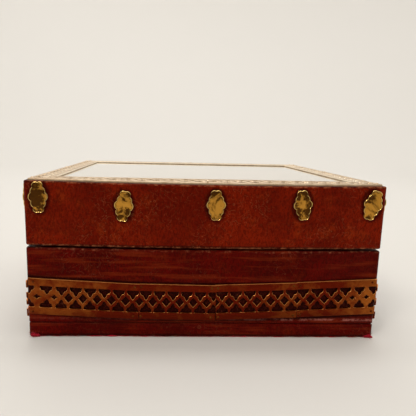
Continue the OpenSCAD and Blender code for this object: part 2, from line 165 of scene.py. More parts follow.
def piece(name, part, material, body, stands_for=(), planes=(), after=None,
          sharp=38):
    """Makes a part into a finished piece that rides on a body. after is a last move of its
    points, which comes once the cuts are made."""
    points, faces, values = part
    mesh = bpy.data.meshes.new(name)
    mesh.vertices.add(len(points))
    mesh.vertices.foreach_set("co", (points * MM).astype(np.float32).ravel())
    mesh.loops.add(faces.size)
    mesh.loops.foreach_set("vertex_index", faces.astype(np.int32).ravel())
    mesh.polygons.add(len(faces))
    mesh.polygons.foreach_set("loop_start", np.arange(0, faces.size, 4, dtype=np.int32))
    mesh.update(calc_edges=True)
    for key, value in values.items():
        mesh.attributes.new(key, "FLOAT", "POINT").data.foreach_set(
            "value", value.astype(np.float32))
    weld(mesh, planes)
    if after:
        count = len(mesh.vertices)
        flat = np.zeros(count * 3, np.float32)
        mesh.vertices.foreach_get("co", flat)
        moved = after(flat.reshape(-1, 3).astype(float) / MM) * MM
        mesh.vertices.foreach_set("co", moved.astype(np.float32).ravel())
    mesh.polygons.foreach_set("use_smooth", np.ones(len(mesh.polygons), bool))
    mesh.set_sharp_from_angle(angle=math.radians(sharp))
    mesh.materials.append(material)
    mesh.update()
    thing = bpy.data.objects.new(name, mesh)
    bpy.context.scene.collection.objects.link(thing)
    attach(thing, body)
    if stands_for:
        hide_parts(*stands_for)
    return thing


def rounded(corners, steps=5):
    """A closed outline through corners (x, y, radius), each replaced by an arc of its radius,
    and a list that numbers the points on arcs wider than a quarter millimetre by their corner."""
    outline, bent = [], []
    count = len(corners)
    for i, (x, y, radius) in enumerate(corners):
        here = np.array([x, y], float)
        before = np.array(corners[i - 1][:2], float) - here
        after = np.array(corners[(i + 1) % count][:2], float) - here
        before /= np.linalg.norm(before)
        after /= np.linalg.norm(after)
        if radius <= 0:
            outline.append(here)
            bent.append(0)
            continue
        half = math.acos(np.clip(before @ after, -1, 1)) / 2
        centre = here + (before + after) / np.linalg.norm(before + after) * radius / math.sin(half)
        first = here + before * radius / math.tan(half) - centre
        last = here + after * radius / math.tan(half) - centre
        sweep = math.pi - 2 * half
        for t in np.linspace(0, 1, steps + 1):
            mix = (first * math.sin((1 - t) * sweep) + last * math.sin(t * sweep))
            outline.append(centre + mix / math.sin(sweep))
            bent.append(i + 1 if radius > 0.25 else 0)
    return np.array(outline), np.array(bent)


def graded(length, step):
    """Shares of a run's length from 0 up to but not 1: even steps, with three more points close
    to each end."""
    if length < 4:
        return np.array([0.0])
    near = np.array([0.35, 0.8, 1.6]) / length
    even = np.linspace(2.6 / length, 1 - 2.6 / length, max(2, int(length / step)))
    return np.concatenate([[0], near, even, 1 - near[::-1]])


def dense(outline, bent, step):
    """The closed outline with extra points along its straight runs, at most step apart and
    closer together at their ends."""
    points, flags = [], []
    for a, b, fa, fb in zip(outline, np.roll(outline, -1, 0), bent, np.roll(bent, -1)):
        share = graded(np.linalg.norm(b - a), step)
        points.append(a + (b - a) * share[:, None])
        flags.append(np.where((share == 0) | (fa == fb), fa, 0))
    return np.concatenate(points), np.concatenate(flags)


def edge_nearness(outline, bent, reach):
    """For each point of a closed outline, 1 on its bends and falling off along it."""
    run = np.linalg.norm(np.roll(outline, -1, 0) - outline, axis=1)
    place = np.concatenate([[0], np.cumsum(run)[:-1]])
    gap = np.abs(place[:, None] - place[None, bent > 0])
    gap = np.minimum(gap, run.sum() - gap)
    return np.exp(-(gap.min(1) / reach) ** 1.5) if gap.size else np.zeros(len(outline))


def around(inset, z, half_w, half_d, radius, run):
    """Rings round an upright box with round corners: each ring is the rectangle drawn in by its
    inset at its own height. Gives points (rings, places, 3) and, for each place, how near it
    is to an upright corner."""
    turn = 7
    inset, z = inset[:, None], z[:, None]
    bend = np.maximum(radius - inset, 0.25)
    angle = np.linspace(0, math.pi / 2, turn + 1)[None, :]
    rings, near = [], []
    for quarter in range(4):
        signs = [(1, 1), (-1, 1), (-1, -1), (1, -1)]
        sx, sy = signs[quarter]
        nx, ny = signs[(quarter + 1) % 4]
        turned = angle + quarter * math.pi / 2
        arc_x = sx * (half_w - inset - bend) + bend * np.cos(turned)
        arc_y = sy * (half_d - inset - bend) + bend * np.sin(turned)
        share = graded(2 * half_w, 2 * half_w / run)[None, 1:]
        end_turn = (quarter + 1) * math.pi / 2
        next_x = nx * (half_w - inset - bend) + bend * math.cos(end_turn)
        next_y = ny * (half_d - inset - bend) + bend * math.sin(end_turn)
        rings += [np.stack([arc_x, arc_y], -1),
                  np.stack([arc_x[:, -1:] * (1 - share) + next_x * share,
                            arc_y[:, -1:] * (1 - share) + next_y * share], -1)]
        gap = np.minimum(share, 1 - share)[0] * 2 * half_w
        near += [np.full(turn + 1, 0.75), 0.75 * np.exp(-(gap / 0.6) ** 1.5)]
    flat = np.concatenate(rings, 1)
    return np.dstack([flat, np.broadcast_to(z, flat.shape[:2])]), np.concatenate(near)


def ring_shell(corners, half_w, half_d, radius, step=4, steps=5, run=64, warp=0.0, seed=0):
    """A closed shell carried round an upright box. corners is its section, as (inset, height,
    bend radius); warp is the height in millimetres of the gentle waves on its outer face."""
    section, bent = dense(*rounded(corners, steps), step)
    points, corner = around(section[:, 0], section[:, 1], half_w, half_d, radius, run)
    wear = edge_nearness(section, bent, 0.45)[:, None]
    outer = smooth(1 - section[:, 0])[:, None]
    wear = np.maximum(wear, corner[None, :] * outer)
    if warp:
        bulge = waves(points * [1, 1, 0.6], seed, 38) + 0.4 * waves(points, seed + 1, 11)
        flat = points[..., :2] / [half_w, half_d]
        leading = np.abs(flat).argmax(-1)
        push = np.zeros_like(points)
        rows, columns = np.indices(leading.shape)
        push[rows, columns, leading] = np.sign(flat[rows, columns, leading])
        calm = outer * smooth((1 - corner[None, :]) * 1.2)
        points = points + push * (warp * np.minimum(bulge, 0.4) * calm)[..., None]
    return surface(points, True, True, wear=wear)


def soft_box(low, high, radius, cell=6, bend=4):
    """A box with all its edges rounded: points of the six faces are drawn to the core box and
    pushed out again by the radius."""
    low, high = np.array(low, float), np.array(high, float)
    parts = []
    for axis in range(3):
        u, v = (axis + 1) % 3, (axis + 2) % 3
        runs = []
        for k in (u, v):
            inner = np.linspace(low[k] + radius, high[k] - radius,
                                max(2, int((high[k] - low[k]) / cell)))
            arc = radius * np.tan(np.linspace(0, math.pi / 4, bend))[1:]
            runs.append(np.concatenate([low[k] + radius - arc[::-1], inner,
                                        high[k] - radius + arc]))
        for end in (low, high):
            points = np.zeros((len(runs[0]), len(runs[1]), 3))
            points[..., u], points[..., v] = np.meshgrid(*runs, indexing="ij")
            points[..., axis] = end[axis]
            core = np.clip(points, low + radius, high - radius)
            out = points - core
            near = np.linalg.norm(out, axis=-1, keepdims=True)
            edge = smooth((near[..., 0] / radius - 1) / 0.15)
            parts.append(surface(core + out / near * radius, wear=edge))
    return join(parts)


def turned(radii, heights, centre, sides):
    """A solid of revolution: a profile of radii and heights turned about an upright axis."""
    angle = np.arange(sides) * 2 * math.pi / sides
    radii, heights = np.array(radii, float)[:, None], np.array(heights, float)[:, None]
    points = np.zeros((len(radii), sides, 3))
    points[..., 0] = radii * np.cos(angle)
    points[..., 1] = radii * np.sin(angle)
    points[..., 2] = heights
    return surface(points + np.array(centre), False, True)


# ------------------------------------------------------------------ node tools
def add(tree, kind, inputs=None, **settings):
    """Adds a shader node, sets its options, and fills or links its inputs by name or number."""
    node = tree.nodes.new("ShaderNode" + kind)
    for key, value in settings.items():
        setattr(node, key, value)
    for key, value in (inputs or {}).items():
        socket = node.inputs[key]
        if isinstance(value, bpy.types.NodeSocket):
            tree.links.new(value, socket)
        else:
            socket.default_value = value
    return node


def number(tree, operation, a, b=0.0, c=0.0, clamp=False):
    """A Math node's result."""
    return add(tree, "Math", {0: a, 1: b, 2: c}, operation=operation, use_clamp=clamp).outputs[0]


def times(tree, a, b):
    """The product of two values."""
    return number(tree, "MULTIPLY", a, b)


def vector(tree, operation, a, b=(0, 0, 0)):
    """A Vector Math node's outputs."""
    return add(tree, "VectorMath", {0: a, 1: b}, operation=operation).outputs


def remap(tree, value, low, high, to_low=0.0, to_high=1.0):
    """A value carried smoothly from one range to another and held inside it."""
    return add(tree, "MapRange", {"Value": value, "From Min": low, "From Max": high,
                                  "To Min": to_low, "To Max": to_high},
               interpolation_type="SMOOTHSTEP").outputs["Result"]


def blend_colour(tree, share, a, b):
    """Colour a turning into colour b; a and b are colours or sockets."""
    node = add(tree, "Mix", {0: share}, data_type="RGBA")
    for socket, value in ((node.inputs[6], a), (node.inputs[7], b)):
        if isinstance(value, bpy.types.NodeSocket):
            tree.links.new(value, socket)
        else:
            socket.default_value = (*value, 1)
    return node.outputs[2]


def noise(tree, where, scale, detail=4.0, rough=0.55, twist=0.0):
    """A noise texture's value."""
    return add(tree, "TexNoise", {"Vector": where, "Scale": scale, "Detail": detail,
                                  "Roughness": rough, "Distortion": twist}).outputs["Fac"]


def stretch(tree, where, scale, turn=(0, 0, 0)):
    """Coordinates stretched and turned."""
    return add(tree, "Mapping", {"Vector": where, "Scale": scale, "Rotation": turn}).outputs[0]


def attribute(tree, name):
    """A mesh attribute's value."""
    return add(tree, "Attribute", attribute_name=name).outputs["Fac"]


def new_group(name, inputs, outputs):
    """An empty node group with named number or vector inputs and outputs."""
    group = bpy.data.node_groups.new(name, "ShaderNodeTree")
    for title, kind, value in inputs:
        socket = group.interface.new_socket(title, in_out="INPUT", socket_type=kind)
        if value is not None:
            socket.default_value = value
    for title, kind in outputs:
        group.interface.new_socket(title, in_out="OUTPUT", socket_type=kind)
    return group, group.nodes.new("NodeGroupInput").outputs, group.nodes.new("NodeGroupOutput")


def use(tree, group, inputs):
    """Places a node group and gives its outputs."""
    node = tree.nodes.new("ShaderNodeGroup")
    node.node_tree = group
    for key, value in inputs.items():
        if isinstance(value, bpy.types.NodeSocket):
            tree.links.new(value, node.inputs[key])
        else:
            node.inputs[key].default_value = value
    return node.outputs


FLOAT, VECTOR = "NodeSocketFloat", "NodeSocketVector"


def make_grain_group():
    """Leather grain: small round cells broken up by noise, with longer soft wrinkles. Gives a
    height and a slow mottle."""
    g, given, out = new_group("leather_grain", [("Vector", VECTOR, None), ("Cell", FLOAT, 1500.0),
                                                ("Wrinkle", FLOAT, 0.4)],
                              [("Height", FLOAT), ("Mottle", FLOAT)])
    warped = add(g, "VectorMath", {0: add(g, "TexNoise", {
        "Vector": given["Vector"], "Scale": 300.0, "Detail": 2.0}).outputs["Color"],
        1: (0.0009, 0.0009, 0.0009), 2: given["Vector"]}, operation="MULTIPLY_ADD").outputs[0]
    cells = add(g, "TexVoronoi", {"Vector": warped, "Scale": given["Cell"],
                                  "Smoothness": 0.35}, feature="SMOOTH_F1").outputs["Distance"]
    fold = noise(g, stretch(g, given["Vector"], (1, 1, 2.2)), 160.0, 5.0, 0.6, 0.6)
    height = number(g, "MULTIPLY_ADD", fold, given["Wrinkle"],
                    times(g, cells, -0.8))
    g.links.new(height, out.inputs["Height"])
    g.links.new(noise(g, given["Vector"], 70.0, 6.0, 0.62), out.inputs["Mottle"])
    return g


def make_scratch_group():
    """Hairline scratches: each Voronoi cell holds one, where a thin curved sheet in the cell's
    own random direction (normal . v + bend |v|^2 = 0) meets the surface within a set reach."""
    g, given, out = new_group("fine_scratches", [("Vector", VECTOR, None), ("Amount", FLOAT, 0.5),
                                                 ("Scale", FLOAT, 160.0)], [("Mask", FLOAT)])
    total = 0.0
    for factor, reach, bend, seed in ((1.0, 0.55, 0.5, 0.0), (1.9, 0.6, -0.9, 7.3),
                                      (0.55, 0.5, 0.25, 3.1)):
        scale = times(g, given["Scale"], factor)
        scaled = add(g, "VectorMath", {0: given["Vector"], "Scale": scale},
                     operation="SCALE").outputs[0]
        moved = vector(g, "ADD", scaled, (seed, seed * 2, seed))[0]
        cell = add(g, "TexVoronoi", {"Vector": moved, "Scale": 1.0})
        away = vector(g, "SUBTRACT", moved, cell.outputs["Position"])[0]
        spin = vector(g, "SUBTRACT", cell.outputs["Color"], (0.5, 0.5, 0.5))[0]
        normal = vector(g, "NORMALIZE", spin)[0]
        across = vector(g, "DOT_PRODUCT", away, normal)["Value"]
        far = vector(g, "LENGTH", away)["Value"]
        curve = number(g, "MULTIPLY_ADD", times(g, far, far), bend, across)
        line = remap(g, number(g, "ABSOLUTE", curve), 0.035 * factor, 0.0)
        short = remap(g, far, reach, reach * 0.7)
        total = number(g, "MAXIMUM", total, times(g, line, short))
    patch = remap(g, noise(g, given["Vector"], 42.0, 3.0), 0.44, 0.62, 0.12, 1.0)
    faint = times(g, times(g, total, patch), given["Amount"])
    g.links.new(faint, out.inputs["Mask"])
    return g


def make_wear_group():
    """Edge wear: an edge value eaten into by noise, so that the worn line comes and goes."""
    g, given, out = new_group("edge_wear", [("Edge", FLOAT, 0.0), ("Vector", VECTOR, None),
                                            ("Amount", FLOAT, 0.5), ("Size", FLOAT, 220.0)],
                              [("Mask", FLOAT)])
    eaten = number(g, "SUBTRACT", given["Edge"],
                   times(g, noise(g, given["Vector"], given["Size"], 5.0, 0.7), 1.15))
    level = number(g, "SUBTRACT", 0.55, given["Amount"])
    g.links.new(remap(g, number(g, "SUBTRACT", eaten, level), -0.08, 0.14), out.inputs["Mask"])
    return g


GRAIN, SCRATCHES, WEAR = make_grain_group(), make_scratch_group(), make_wear_group()


def new_material(name):
    """An empty material and its tree, object coordinates and Principled shader."""
    material = bpy.data.materials.new(name)
    material.use_nodes = True
    tree = material.node_tree
    shader = tree.nodes["Principled BSDF"]
    place = add(tree, "TexCoord").outputs["Object"]
    return material, tree, place, shader


def bump(tree, shader, height, distance, strength=1.0):
    """Feeds a height to the shader's normal; distance is in metres."""
    node = add(tree, "Bump", {"Height": height, "Distance": distance, "Strength": strength})
    tree.links.new(node.outputs["Normal"], shader.inputs["Normal"])


def finish_shader(tree, shader, colour, roughness, **constants):
    """Links colour and roughness and sets the shader's plain numbers."""
    for name, value in (("Base Color", colour), ("Roughness", roughness)):
        if isinstance(value, bpy.types.NodeSocket):
            tree.links.new(value, shader.inputs[name])
        else:
            shader.inputs[name].default_value = value
    for name, value in constants.items():
        shader.inputs[name.replace("_", " ")].default_value = value


# Ornaments on each side of the lid: along the side, height, tilt in degrees
ORNAMENTS = {
    FRONT: [(-92, 81, 2), (-45.9, 76.8, -7), (4.7, 78, 1.5), (53, 78.8, 8), (92.3, 79.5, -15)],
    RIGHT: [(-78, 80, -6), (-27, 78, 5), (25, 78.6, -3), (77, 79.4, 8)],
    BACK: [(-92, 79.4, 6), (-45, 78, -4), (1, 77.6, 3), (47, 78.6, -8), (93, 80, 4)],
    LEFT: [(-77, 79, 4), (-26, 77.6, -6), (26, 78.4, 3), (78, 80.6, -5)],
}


# ------------------------------------------------------------------ materials
# In metres: the front's face, how far the painted shadow round a plate reaches from its middle
# (all, none), its stretch, the ridge below the bands (height, half width), and where a painted
# shade height fades
FRONT_FACE_Y = -0.085
PLATE_SHADOW_REACH = (0.0108, 0.0085)
PLATE_STRETCH = (1.5, 1.0, 1.0)
RIDGE = (0.0112, 0.0012)
FADE = 0.0008
PAINTED_SHADE_SHARE = 0.16    # how dark painted shade is beside the colour it lies on, as a share
BAND_SHADOW_REACH = (0.0126, 0.0108)


def band_shadow(tree, place):
    """1 on the leather that lies under the pierced bands and just round them: up to 11 mm from
    the bands' middle height, and gone at 13 mm. On the front that height rises with x^2."""
    split = add(tree, "SeparateXYZ", {0: place}).outputs
    bow = number(tree, "MULTIPLY_ADD", times(tree, split["X"], split["X"]), 0.406,
                 -0.0009)
    front = remap(tree, split["Y"], -0.082, -0.0845)
    middle = number(tree, "MULTIPLY_ADD", bow, front, 0.0225)
    off = number(tree, "ABSOLUTE", number(tree, "SUBTRACT", split["Z"], middle))
    return remap(tree, off, *BAND_SHADOW_REACH)


def rubbed_ridge(tree, place):
    """A pale scuffed line at a height, patchy, and stronger towards the right."""
    height, half = RIDGE
    split = add(tree, "SeparateXYZ", {0: place}).outputs
    off = number(tree, "ABSOLUTE", number(tree, "SUBTRACT", split["Z"], height))
    ridge = times(tree, remap(tree, off, half, 0.0),
                   remap(tree, split["X"], 0.0, 0.085, 0.15, 1.0))
    return times(tree, ridge,
                  remap(tree, noise(tree, place, 300.0, 4.0, 0.7), 0.42, 0.62))


def plate_shadow(tree, place, centres):
    """A painted shadow round the plates: 1 on the front leather close to each centre (along, up),
    fading out past the edge of a plate: a stretched distance from the centre, remapped."""
    total = 0.0
    for x, z in centres:
        away = vector(tree, "SUBTRACT", place, (x, FRONT_FACE_Y, z))[0]
        away = vector(tree, "MULTIPLY", away, PLATE_STRETCH)[0]
        far = vector(tree, "LENGTH", away)["Value"]
        total = number(tree, "MAXIMUM", total, remap(tree, far, *PLATE_SHADOW_REACH))
    return total


def leather(name, deep, mid, light, worn, scratches, wear, streaks=0.0, painted_shade_heights=(),
            banded=False, plates=()):
    """Waxed leather: mottled colour, grain, fine scratches and paler worn edges. It is given
    stretches of height, in metres, that are darkened as painted shade, and the leather round the
    plates gets a painted shadow; banded leather also gets a painted shadow round its brass and is
    rubbed along a ridge below it."""
    material, tree, place, shader = new_material(name)
    grain = use(tree, GRAIN, {"Vector": place, "Cell": 1300.0, "Wrinkle": 0.5})
    cloud = noise(tree, place, 30.0, 5.0, 0.65, 0.5)
    colour = blend_colour(tree, remap(tree, cloud, 0.36, 0.64), deep, mid)
    colour = blend_colour(tree, remap(tree, grain["Mottle"], 0.5, 0.74, 0.0, 0.55), colour, light)
    fine = noise(tree, stretch(tree, place, (1.6, 1.6, 0.8)), 560.0, 4.0, 0.75, 0.4)
    colour = blend_colour(tree, remap(tree, fine, 0.42, 0.62, 0.0, 0.6), colour,
                          tuple(0.4 * c for c in deep))
    if streaks:
        drawn = stretch(tree, place, (0.07, 0.07, 1))
        streak = remap(tree, noise(tree, drawn, 420.0, 3.0), 0.5, 0.7, 0.0, streaks)
        colour = blend_colour(tree, streak, colour, light)
    # Painted shade: the colour below is a near-black copy of the deep colour, laid where shade and
    # shadow fall.
    painted_shade = tuple(PAINTED_SHADE_SHARE * c for c in deep)
    up = add(tree, "SeparateXYZ", {0: place}).outputs["Z"]
    # Painted shade: each given stretch of height is darkened, for shade on the lid's top face, at
    # the seam, at the foot and in the tooled groove.
    for low, high in painted_shade_heights:
        inside_it = times(tree, remap(tree, up, low, low + FADE),
                           remap(tree, up, high, high - FADE))
        colour = blend_colour(tree, times(tree, inside_it, 0.75), colour, painted_shade)
    if banded:
        # Painted shadow of the bands: the leather under and just round them is darkened.
        colour = blend_colour(tree, times(tree, band_shadow(tree, place), 0.85),
                              colour, painted_shade)
        ridge = rubbed_ridge(tree, place)
        colour = blend_colour(tree, times(tree, ridge, 0.7), colour,
                              (0.42, 0.15, 0.12))
    if plates:
        # Painted shadow round each front plate.
        colour = blend_colour(tree, times(tree, plate_shadow(tree, place, plates),
                                           0.7), colour, painted_shade)
    marks = use(tree, SCRATCHES, {"Vector": place, "Amount": scratches, "Scale": 250.0})["Mask"]
    colour = blend_colour(tree, times(tree, marks, 0.6), colour, worn)
    rub = use(tree, WEAR, {"Edge": attribute(tree, "wear"), "Vector": place,
                           "Amount": wear, "Size": 330.0})["Mask"]
    colour = blend_colour(tree, times(tree, rub, 0.6), colour, worn)
    rough = remap(tree, grain["Mottle"], 0.3, 0.7, 0.36, 0.52)
    rough = number(tree, "MULTIPLY_ADD", rub, 0.12, rough)
    height = number(tree, "MULTIPLY_ADD", marks, -0.6, grain["Height"])
    bump(tree, shader, height, 0.00016, 0.9)
    finish_shader(tree, shader, colour, rough, Specular_IOR_Level=0.07,
                  Specular_Tint=(1.0, 0.45, 0.30, 1.0))
    return material


def brass(name, patina, metal, bright, rough=0.34, dull=0.5, rubbed=0.5, patches=0.25):
    """Old brass: brown patina over metal, bright where it is handled, and darkened in its hollows
    as painted shade. dull is how much patina there is, patches how far that varies. Reads the
    attributes wear (edges; on the bands it also carries a painted highlight where an edge faces
    up), hollow (recesses, painted shade) and tarnish (more patina)."""
    material, tree, place, shader = new_material(name)
    cloud = noise(tree, place, 120.0, 6.0, 0.65, 0.5)
    spots = remap(tree, noise(tree, place, 700.0, 3.0, 0.6), 0.58, 0.72)
    tarnish = number(tree, "ADD", remap(tree, cloud, 0.38, 0.62, -patches, patches), dull)
    tarnish = number(tree, "ADD", tarnish, attribute(tree, "tarnish"), clamp=True)
    colour = blend_colour(tree, tarnish, metal, patina)
    colour = blend_colour(tree, times(tree, spots, 0.35), colour, patina)
    rub = use(tree, WEAR, {"Edge": attribute(tree, "wear"), "Vector": place,
                           "Amount": rubbed, "Size": 420.0})["Mask"]
    # Worn edges turn to the bright colour; on the pierced bands this also paints a highlight on
    # edges that face up.
    colour = blend_colour(tree, rub, colour, bright)
    # Painted shade: recesses and the back of the sheet are darkened to near black.
    hollow = attribute(tree, "hollow")
    painted_shade = tuple(PAINTED_SHADE_SHARE * c for c in patina)
    colour = blend_colour(tree, times(tree, hollow, 0.9), colour, painted_shade)
    marks = use(tree, SCRATCHES, {"Vector": place, "Amount": 0.6, "Scale": 300.0})["Mask"]
    roughness = number(tree, "MULTIPLY_ADD", spots, 0.18, rough)
    roughness = number(tree, "MULTIPLY_ADD", rub, -0.06, roughness)
    roughness = number(tree, "MULTIPLY_ADD", hollow, 0.35, roughness, clamp=True)
    height = number(tree, "MULTIPLY_ADD", marks, -0.5, noise(tree, place, 260.0, 4.0))
    bump(tree, shader, height, 0.00005, 0.6)
    finish_shader(tree, shader, colour, roughness, Metallic=1.0)
    return material


def velvet(name, deep, mid, light):
    """Short-pile velvet: patches where the pile leans, and a fine nap."""
    material, tree, place, shader = new_material(name)
    lean = noise(tree, place, 38.0, 3.0, 0.6, 0.8)
    nap = noise(tree, place, 2600.0, 2.0, 0.6)
    colour = blend_colour(tree, remap(tree, lean, 0.35, 0.65), deep, mid)
    colour = blend_colour(tree, remap(tree, nap, 0.45, 0.75, 0.0, 0.5), colour, light)
    rub = use(tree, WEAR, {"Edge": attribute(tree, "wear"), "Vector": place,
                           "Amount": 0.35, "Size": 320.0})["Mask"]
    colour = blend_colour(tree, times(tree, rub, 0.5), colour, light)
    bump(tree, shader, number(tree, "MULTIPLY_ADD", lean, 0.6, nap), 0.0002, 0.7)
    finish_shader(tree, shader, colour, 0.92, Specular_IOR_Level=0.12, Sheen_Weight=0.55,
                  Sheen_Roughness=0.35, Sheen_Tint=(1.0, 0.35, 0.35, 1.0))
    return material


def felt(name):
    """Matted wool felt: short crossing fibres, pilled and faded in places."""
    material, tree, place, shader = new_material(name)
    fibres = noise(tree, stretch(tree, place, (1, 0.25, 1), (0, 0, 0.6)), 2400.0, 3.0, 0.7, 1.2)
    across = noise(tree, stretch(tree, place, (0.25, 1, 1), (0, 0, 0.2)), 2400.0, 3.0, 0.7, 1.2)
    mat = number(tree, "MAXIMUM", fibres, across)
    colour = blend_colour(tree, remap(tree, mat, 0.45, 0.72), (0.30, 0.004, 0.016),
                          (0.62, 0.012, 0.035))
    colour = blend_colour(tree, remap(tree, noise(tree, place, 90.0), 0.5, 0.8, 0.0, 0.4), colour,
                          (0.72, 0.06, 0.07))
    bump(tree, shader, mat, 0.0004, 0.9)
    finish_shader(tree, shader, colour, 0.95, Specular_IOR_Level=0.1, Sheen_Weight=0.4,
                  Sheen_Roughness=0.5, Sheen_Tint=(1.0, 0.3, 0.3, 1.0))
    return material


def old_mirror(name):
    """Silvered glass with a warm cast: faint smears, dust and brown specks near its edges."""
    material, tree, place, shader = new_material(name)
    specks = remap(tree, noise(tree, place, 420.0, 5.0, 0.7), 0.64, 0.72)
    patch = remap(tree, noise(tree, place, 24.0, 3.0), 0.52, 0.7)
    foxing = times(tree, times(tree, specks, patch),
                    attribute(tree, "rim"))
    colour = blend_colour(tree, foxing, (0.90, 0.86, 0.80), (0.22, 0.15, 0.09))
    smear = remap(tree, noise(tree, stretch(tree, place, (1, 0.35, 1), (0, 0, 0.5)), 45.0, 6.0,
                              0.7, 0.6), 0.42, 0.75, 0.015, 0.10)
    finish_shader(tree, shader, colour, number(tree, "MULTIPLY_ADD", foxing, 0.4, smear),
                  Metallic=1.0)
    return material


def wood(name):
    """Plain sawn softwood with a lengthwise grain."""
    material, tree, place, shader = new_material(name)
    along = stretch(tree, place, (0.06, 1, 1))
    rings = noise(tree, along, 260.0, 6.0, 0.6, 0.8)
    pores = noise(tree, along, 2200.0, 2.0)
    colour = blend_colour(tree, remap(tree, rings, 0.35, 0.65), (0.52, 0.33, 0.16),
                          (0.36, 0.20, 0.09))
    bump(tree, shader, number(tree, "ADD", rings, pores), 0.0001, 0.6)
    finish_shader(tree, shader, colour, 0.7, Specular_IOR_Level=0.3)
    return material


def ribbon(name):
    """Ribbed silk ribbon: fine cords across its width."""
    material, tree, place, shader = new_material(name)
    ribs = add(tree, "TexWave", {"Vector": place, "Scale": 520.0, "Distortion": 0.3,
                                 "Detail": 1.0}, bands_direction="Z").outputs["Fac"]
    colour = blend_colour(tree, ribs, (0.20, 0.006, 0.012), (0.42, 0.02, 0.03))
    bump(tree, shader, ribs, 0.00012, 0.8)
    finish_shader(tree, shader, colour, 0.5, Sheen_Weight=0.2)
    return material


# The lid's painted shade lies on its top face and along its lower edge by the seam.
LID_LEATHER = leather("oxblood_leather_lid", (0.115, 0.0042, 0.0006), (0.190, 0.0095, 0.0011),
                      (0.270, 0.030, 0.0040), (0.38, 0.12, 0.05), 0.42, 0.12,
                      painted_shade_heights=[(0.0885, 0.1), (0.0, 0.0552)],
                      plates=[(x * MM, z * MM) for x, z, _ in ORNAMENTS[FRONT]])
# The base's leather is a darker copy of the lid's, about half as bright: painted shade for a base
# that gets less light than the lid. Its painted shade stretches lie at the seam, the foot and the
# tooled groove.
BASE_LEATHER = leather("oxblood_leather_base", (0.062, 0.0008, 0.0004), (0.104, 0.0016, 0.0006),
                       (0.165, 0.016, 0.003), (0.34, 0.12, 0.06), 0.3, 0.05, 0.6,
                       [(0.0520, 0.1), (0.0, 0.0024), (0.0080, 0.0096)], True)
TRAY_LEATHER = leather("oxblood_leather_tray", (0.07, 0.004, 0.001), (0.12, 0.010, 0.003),
                       (0.19, 0.03, 0.008), (0.40, 0.18, 0.10), 0.3, 0.36)
# The bands' patina is near black-red: partly the brass's own patina, partly a painted reflection of
# a dark room and brown table.
BAND_BRASS = brass("old_pierced_brass", (0.115, 0.009, 0.0022), (0.31, 0.085, 0.012),
                   (0.90, 0.36, 0.10), 0.34, 0.9, 0.5)
STRIP_BRASS = brass("rubbed_pierced_brass", (0.42, 0.27, 0.16), (0.76, 0.60, 0.42),
                    (0.95, 0.84, 0.66), 0.36, 0.4)
# The plates' patina is near black and varies in wide patches: partly real patina, partly a painted
# reflection of a dark room.
ORNAMENT_BRASS = brass("polished_brass", (0.070, 0.026, 0.005), (0.52, 0.25, 0.035),
                       (0.85, 0.55, 0.17), 0.17, 0.72, 0.5, 0.95)
PIN_BRASS = brass("pin_brass", (0.10, 0.015, 0.003), (0.22, 0.08, 0.012),
                  (0.34, 0.13, 0.03), 0.6, 0.8, 0.1)
HINGE_BRASS = brass("hinge_brass", (0.17, 0.075, 0.02), (0.46, 0.28, 0.085),
                    (0.8, 0.6, 0.3), 0.34, 0.6)
RED_VELVET = velvet("red_velvet", (0.085, 0.003, 0.006), (0.17, 0.006, 0.012),
                    (0.33, 0.02, 0.03))
RED_FELT = felt("red_felt")
MIRROR = old_mirror("old_mirror")
WOOD = wood("softwood")
RIBBON = ribbon("red_ribbon")


# ------------------------------------------------------------------ leather covers
LIP = WALL_IN + 0.8
GROOVE_Z = 8.6


def base_cover():
    """The base's leather: up the outside, over the rim and a little way down inside, with one
    tooled line near the foot."""
    skin = LEATHER_T - 0.05
    corners = [(0, 0.5, 0.4), (0, GROOVE_Z - 0.7, 0.25), (0.7, GROOVE_Z, 0.2),
               (0, GROOVE_Z + 0.7, 0.25), (0, BASE_TOP, 1.1), (LIP, BASE_TOP, 1.0),
               (LIP, BASE_TOP - 3, 0.2), (WALL_IN + 0.05, BASE_TOP - 3, 0),
               (WALL_IN + 0.05, BASE_TOP - skin, 0), (skin, BASE_TOP - skin, 0),
               (skin, 0.5, 0)]
    part = ring_shell(corners, HALF_W, HALF_D, CORNER_R, 3, 5, 90, 0.28, 3)
    piece("base_leather", move(part, settle), BASE_LEATHER, "base", ["base_leather_cover"])


def lid_cover():
    """The lid's leather: over the top as far as the mirror, down the outside, round the rim and
    a little way up inside."""
    skin = LEATHER_T - 0.05
    reach = HALF_W - box_mm("lid_mirror")[1][0] - 0.1
    corners = [(0, LID_BOTTOM, 1.1), (0, LID_TOP, 0.8), (reach, LID_TOP, 0.2),
               (reach, LID_TOP - skin, 0), (skin, LID_TOP - skin, 0),
               (skin, LID_BOTTOM + skin, 0), (WALL_IN + 0.05, LID_BOTTOM + skin, 0),
               (WALL_IN + 0.05, LID_BOTTOM + 2.1, 0), (LIP, LID_BOTTOM + 2.1, 0.2),
               (LIP, LID_BOTTOM, 1.0)]
    part = ring_shell(corners, HALF_W, HALF_D, CORNER_R, 3, 5, 90, 0.28, 8)
    piece("lid_leather", move(part, settle), LID_LEATHER, "lid", ["lid_leather_cover"])


# ------------------------------------------------------------------ pierced brass
# Openings of the lattice on a cell 8 mm wide, as (along, up) from the crossing's middle
def both_ways(right_half):
    """An outline from its right half, given from the bottom point upwards."""
    return right_half + [(-x, z) for x, z in reversed(right_half) if x]


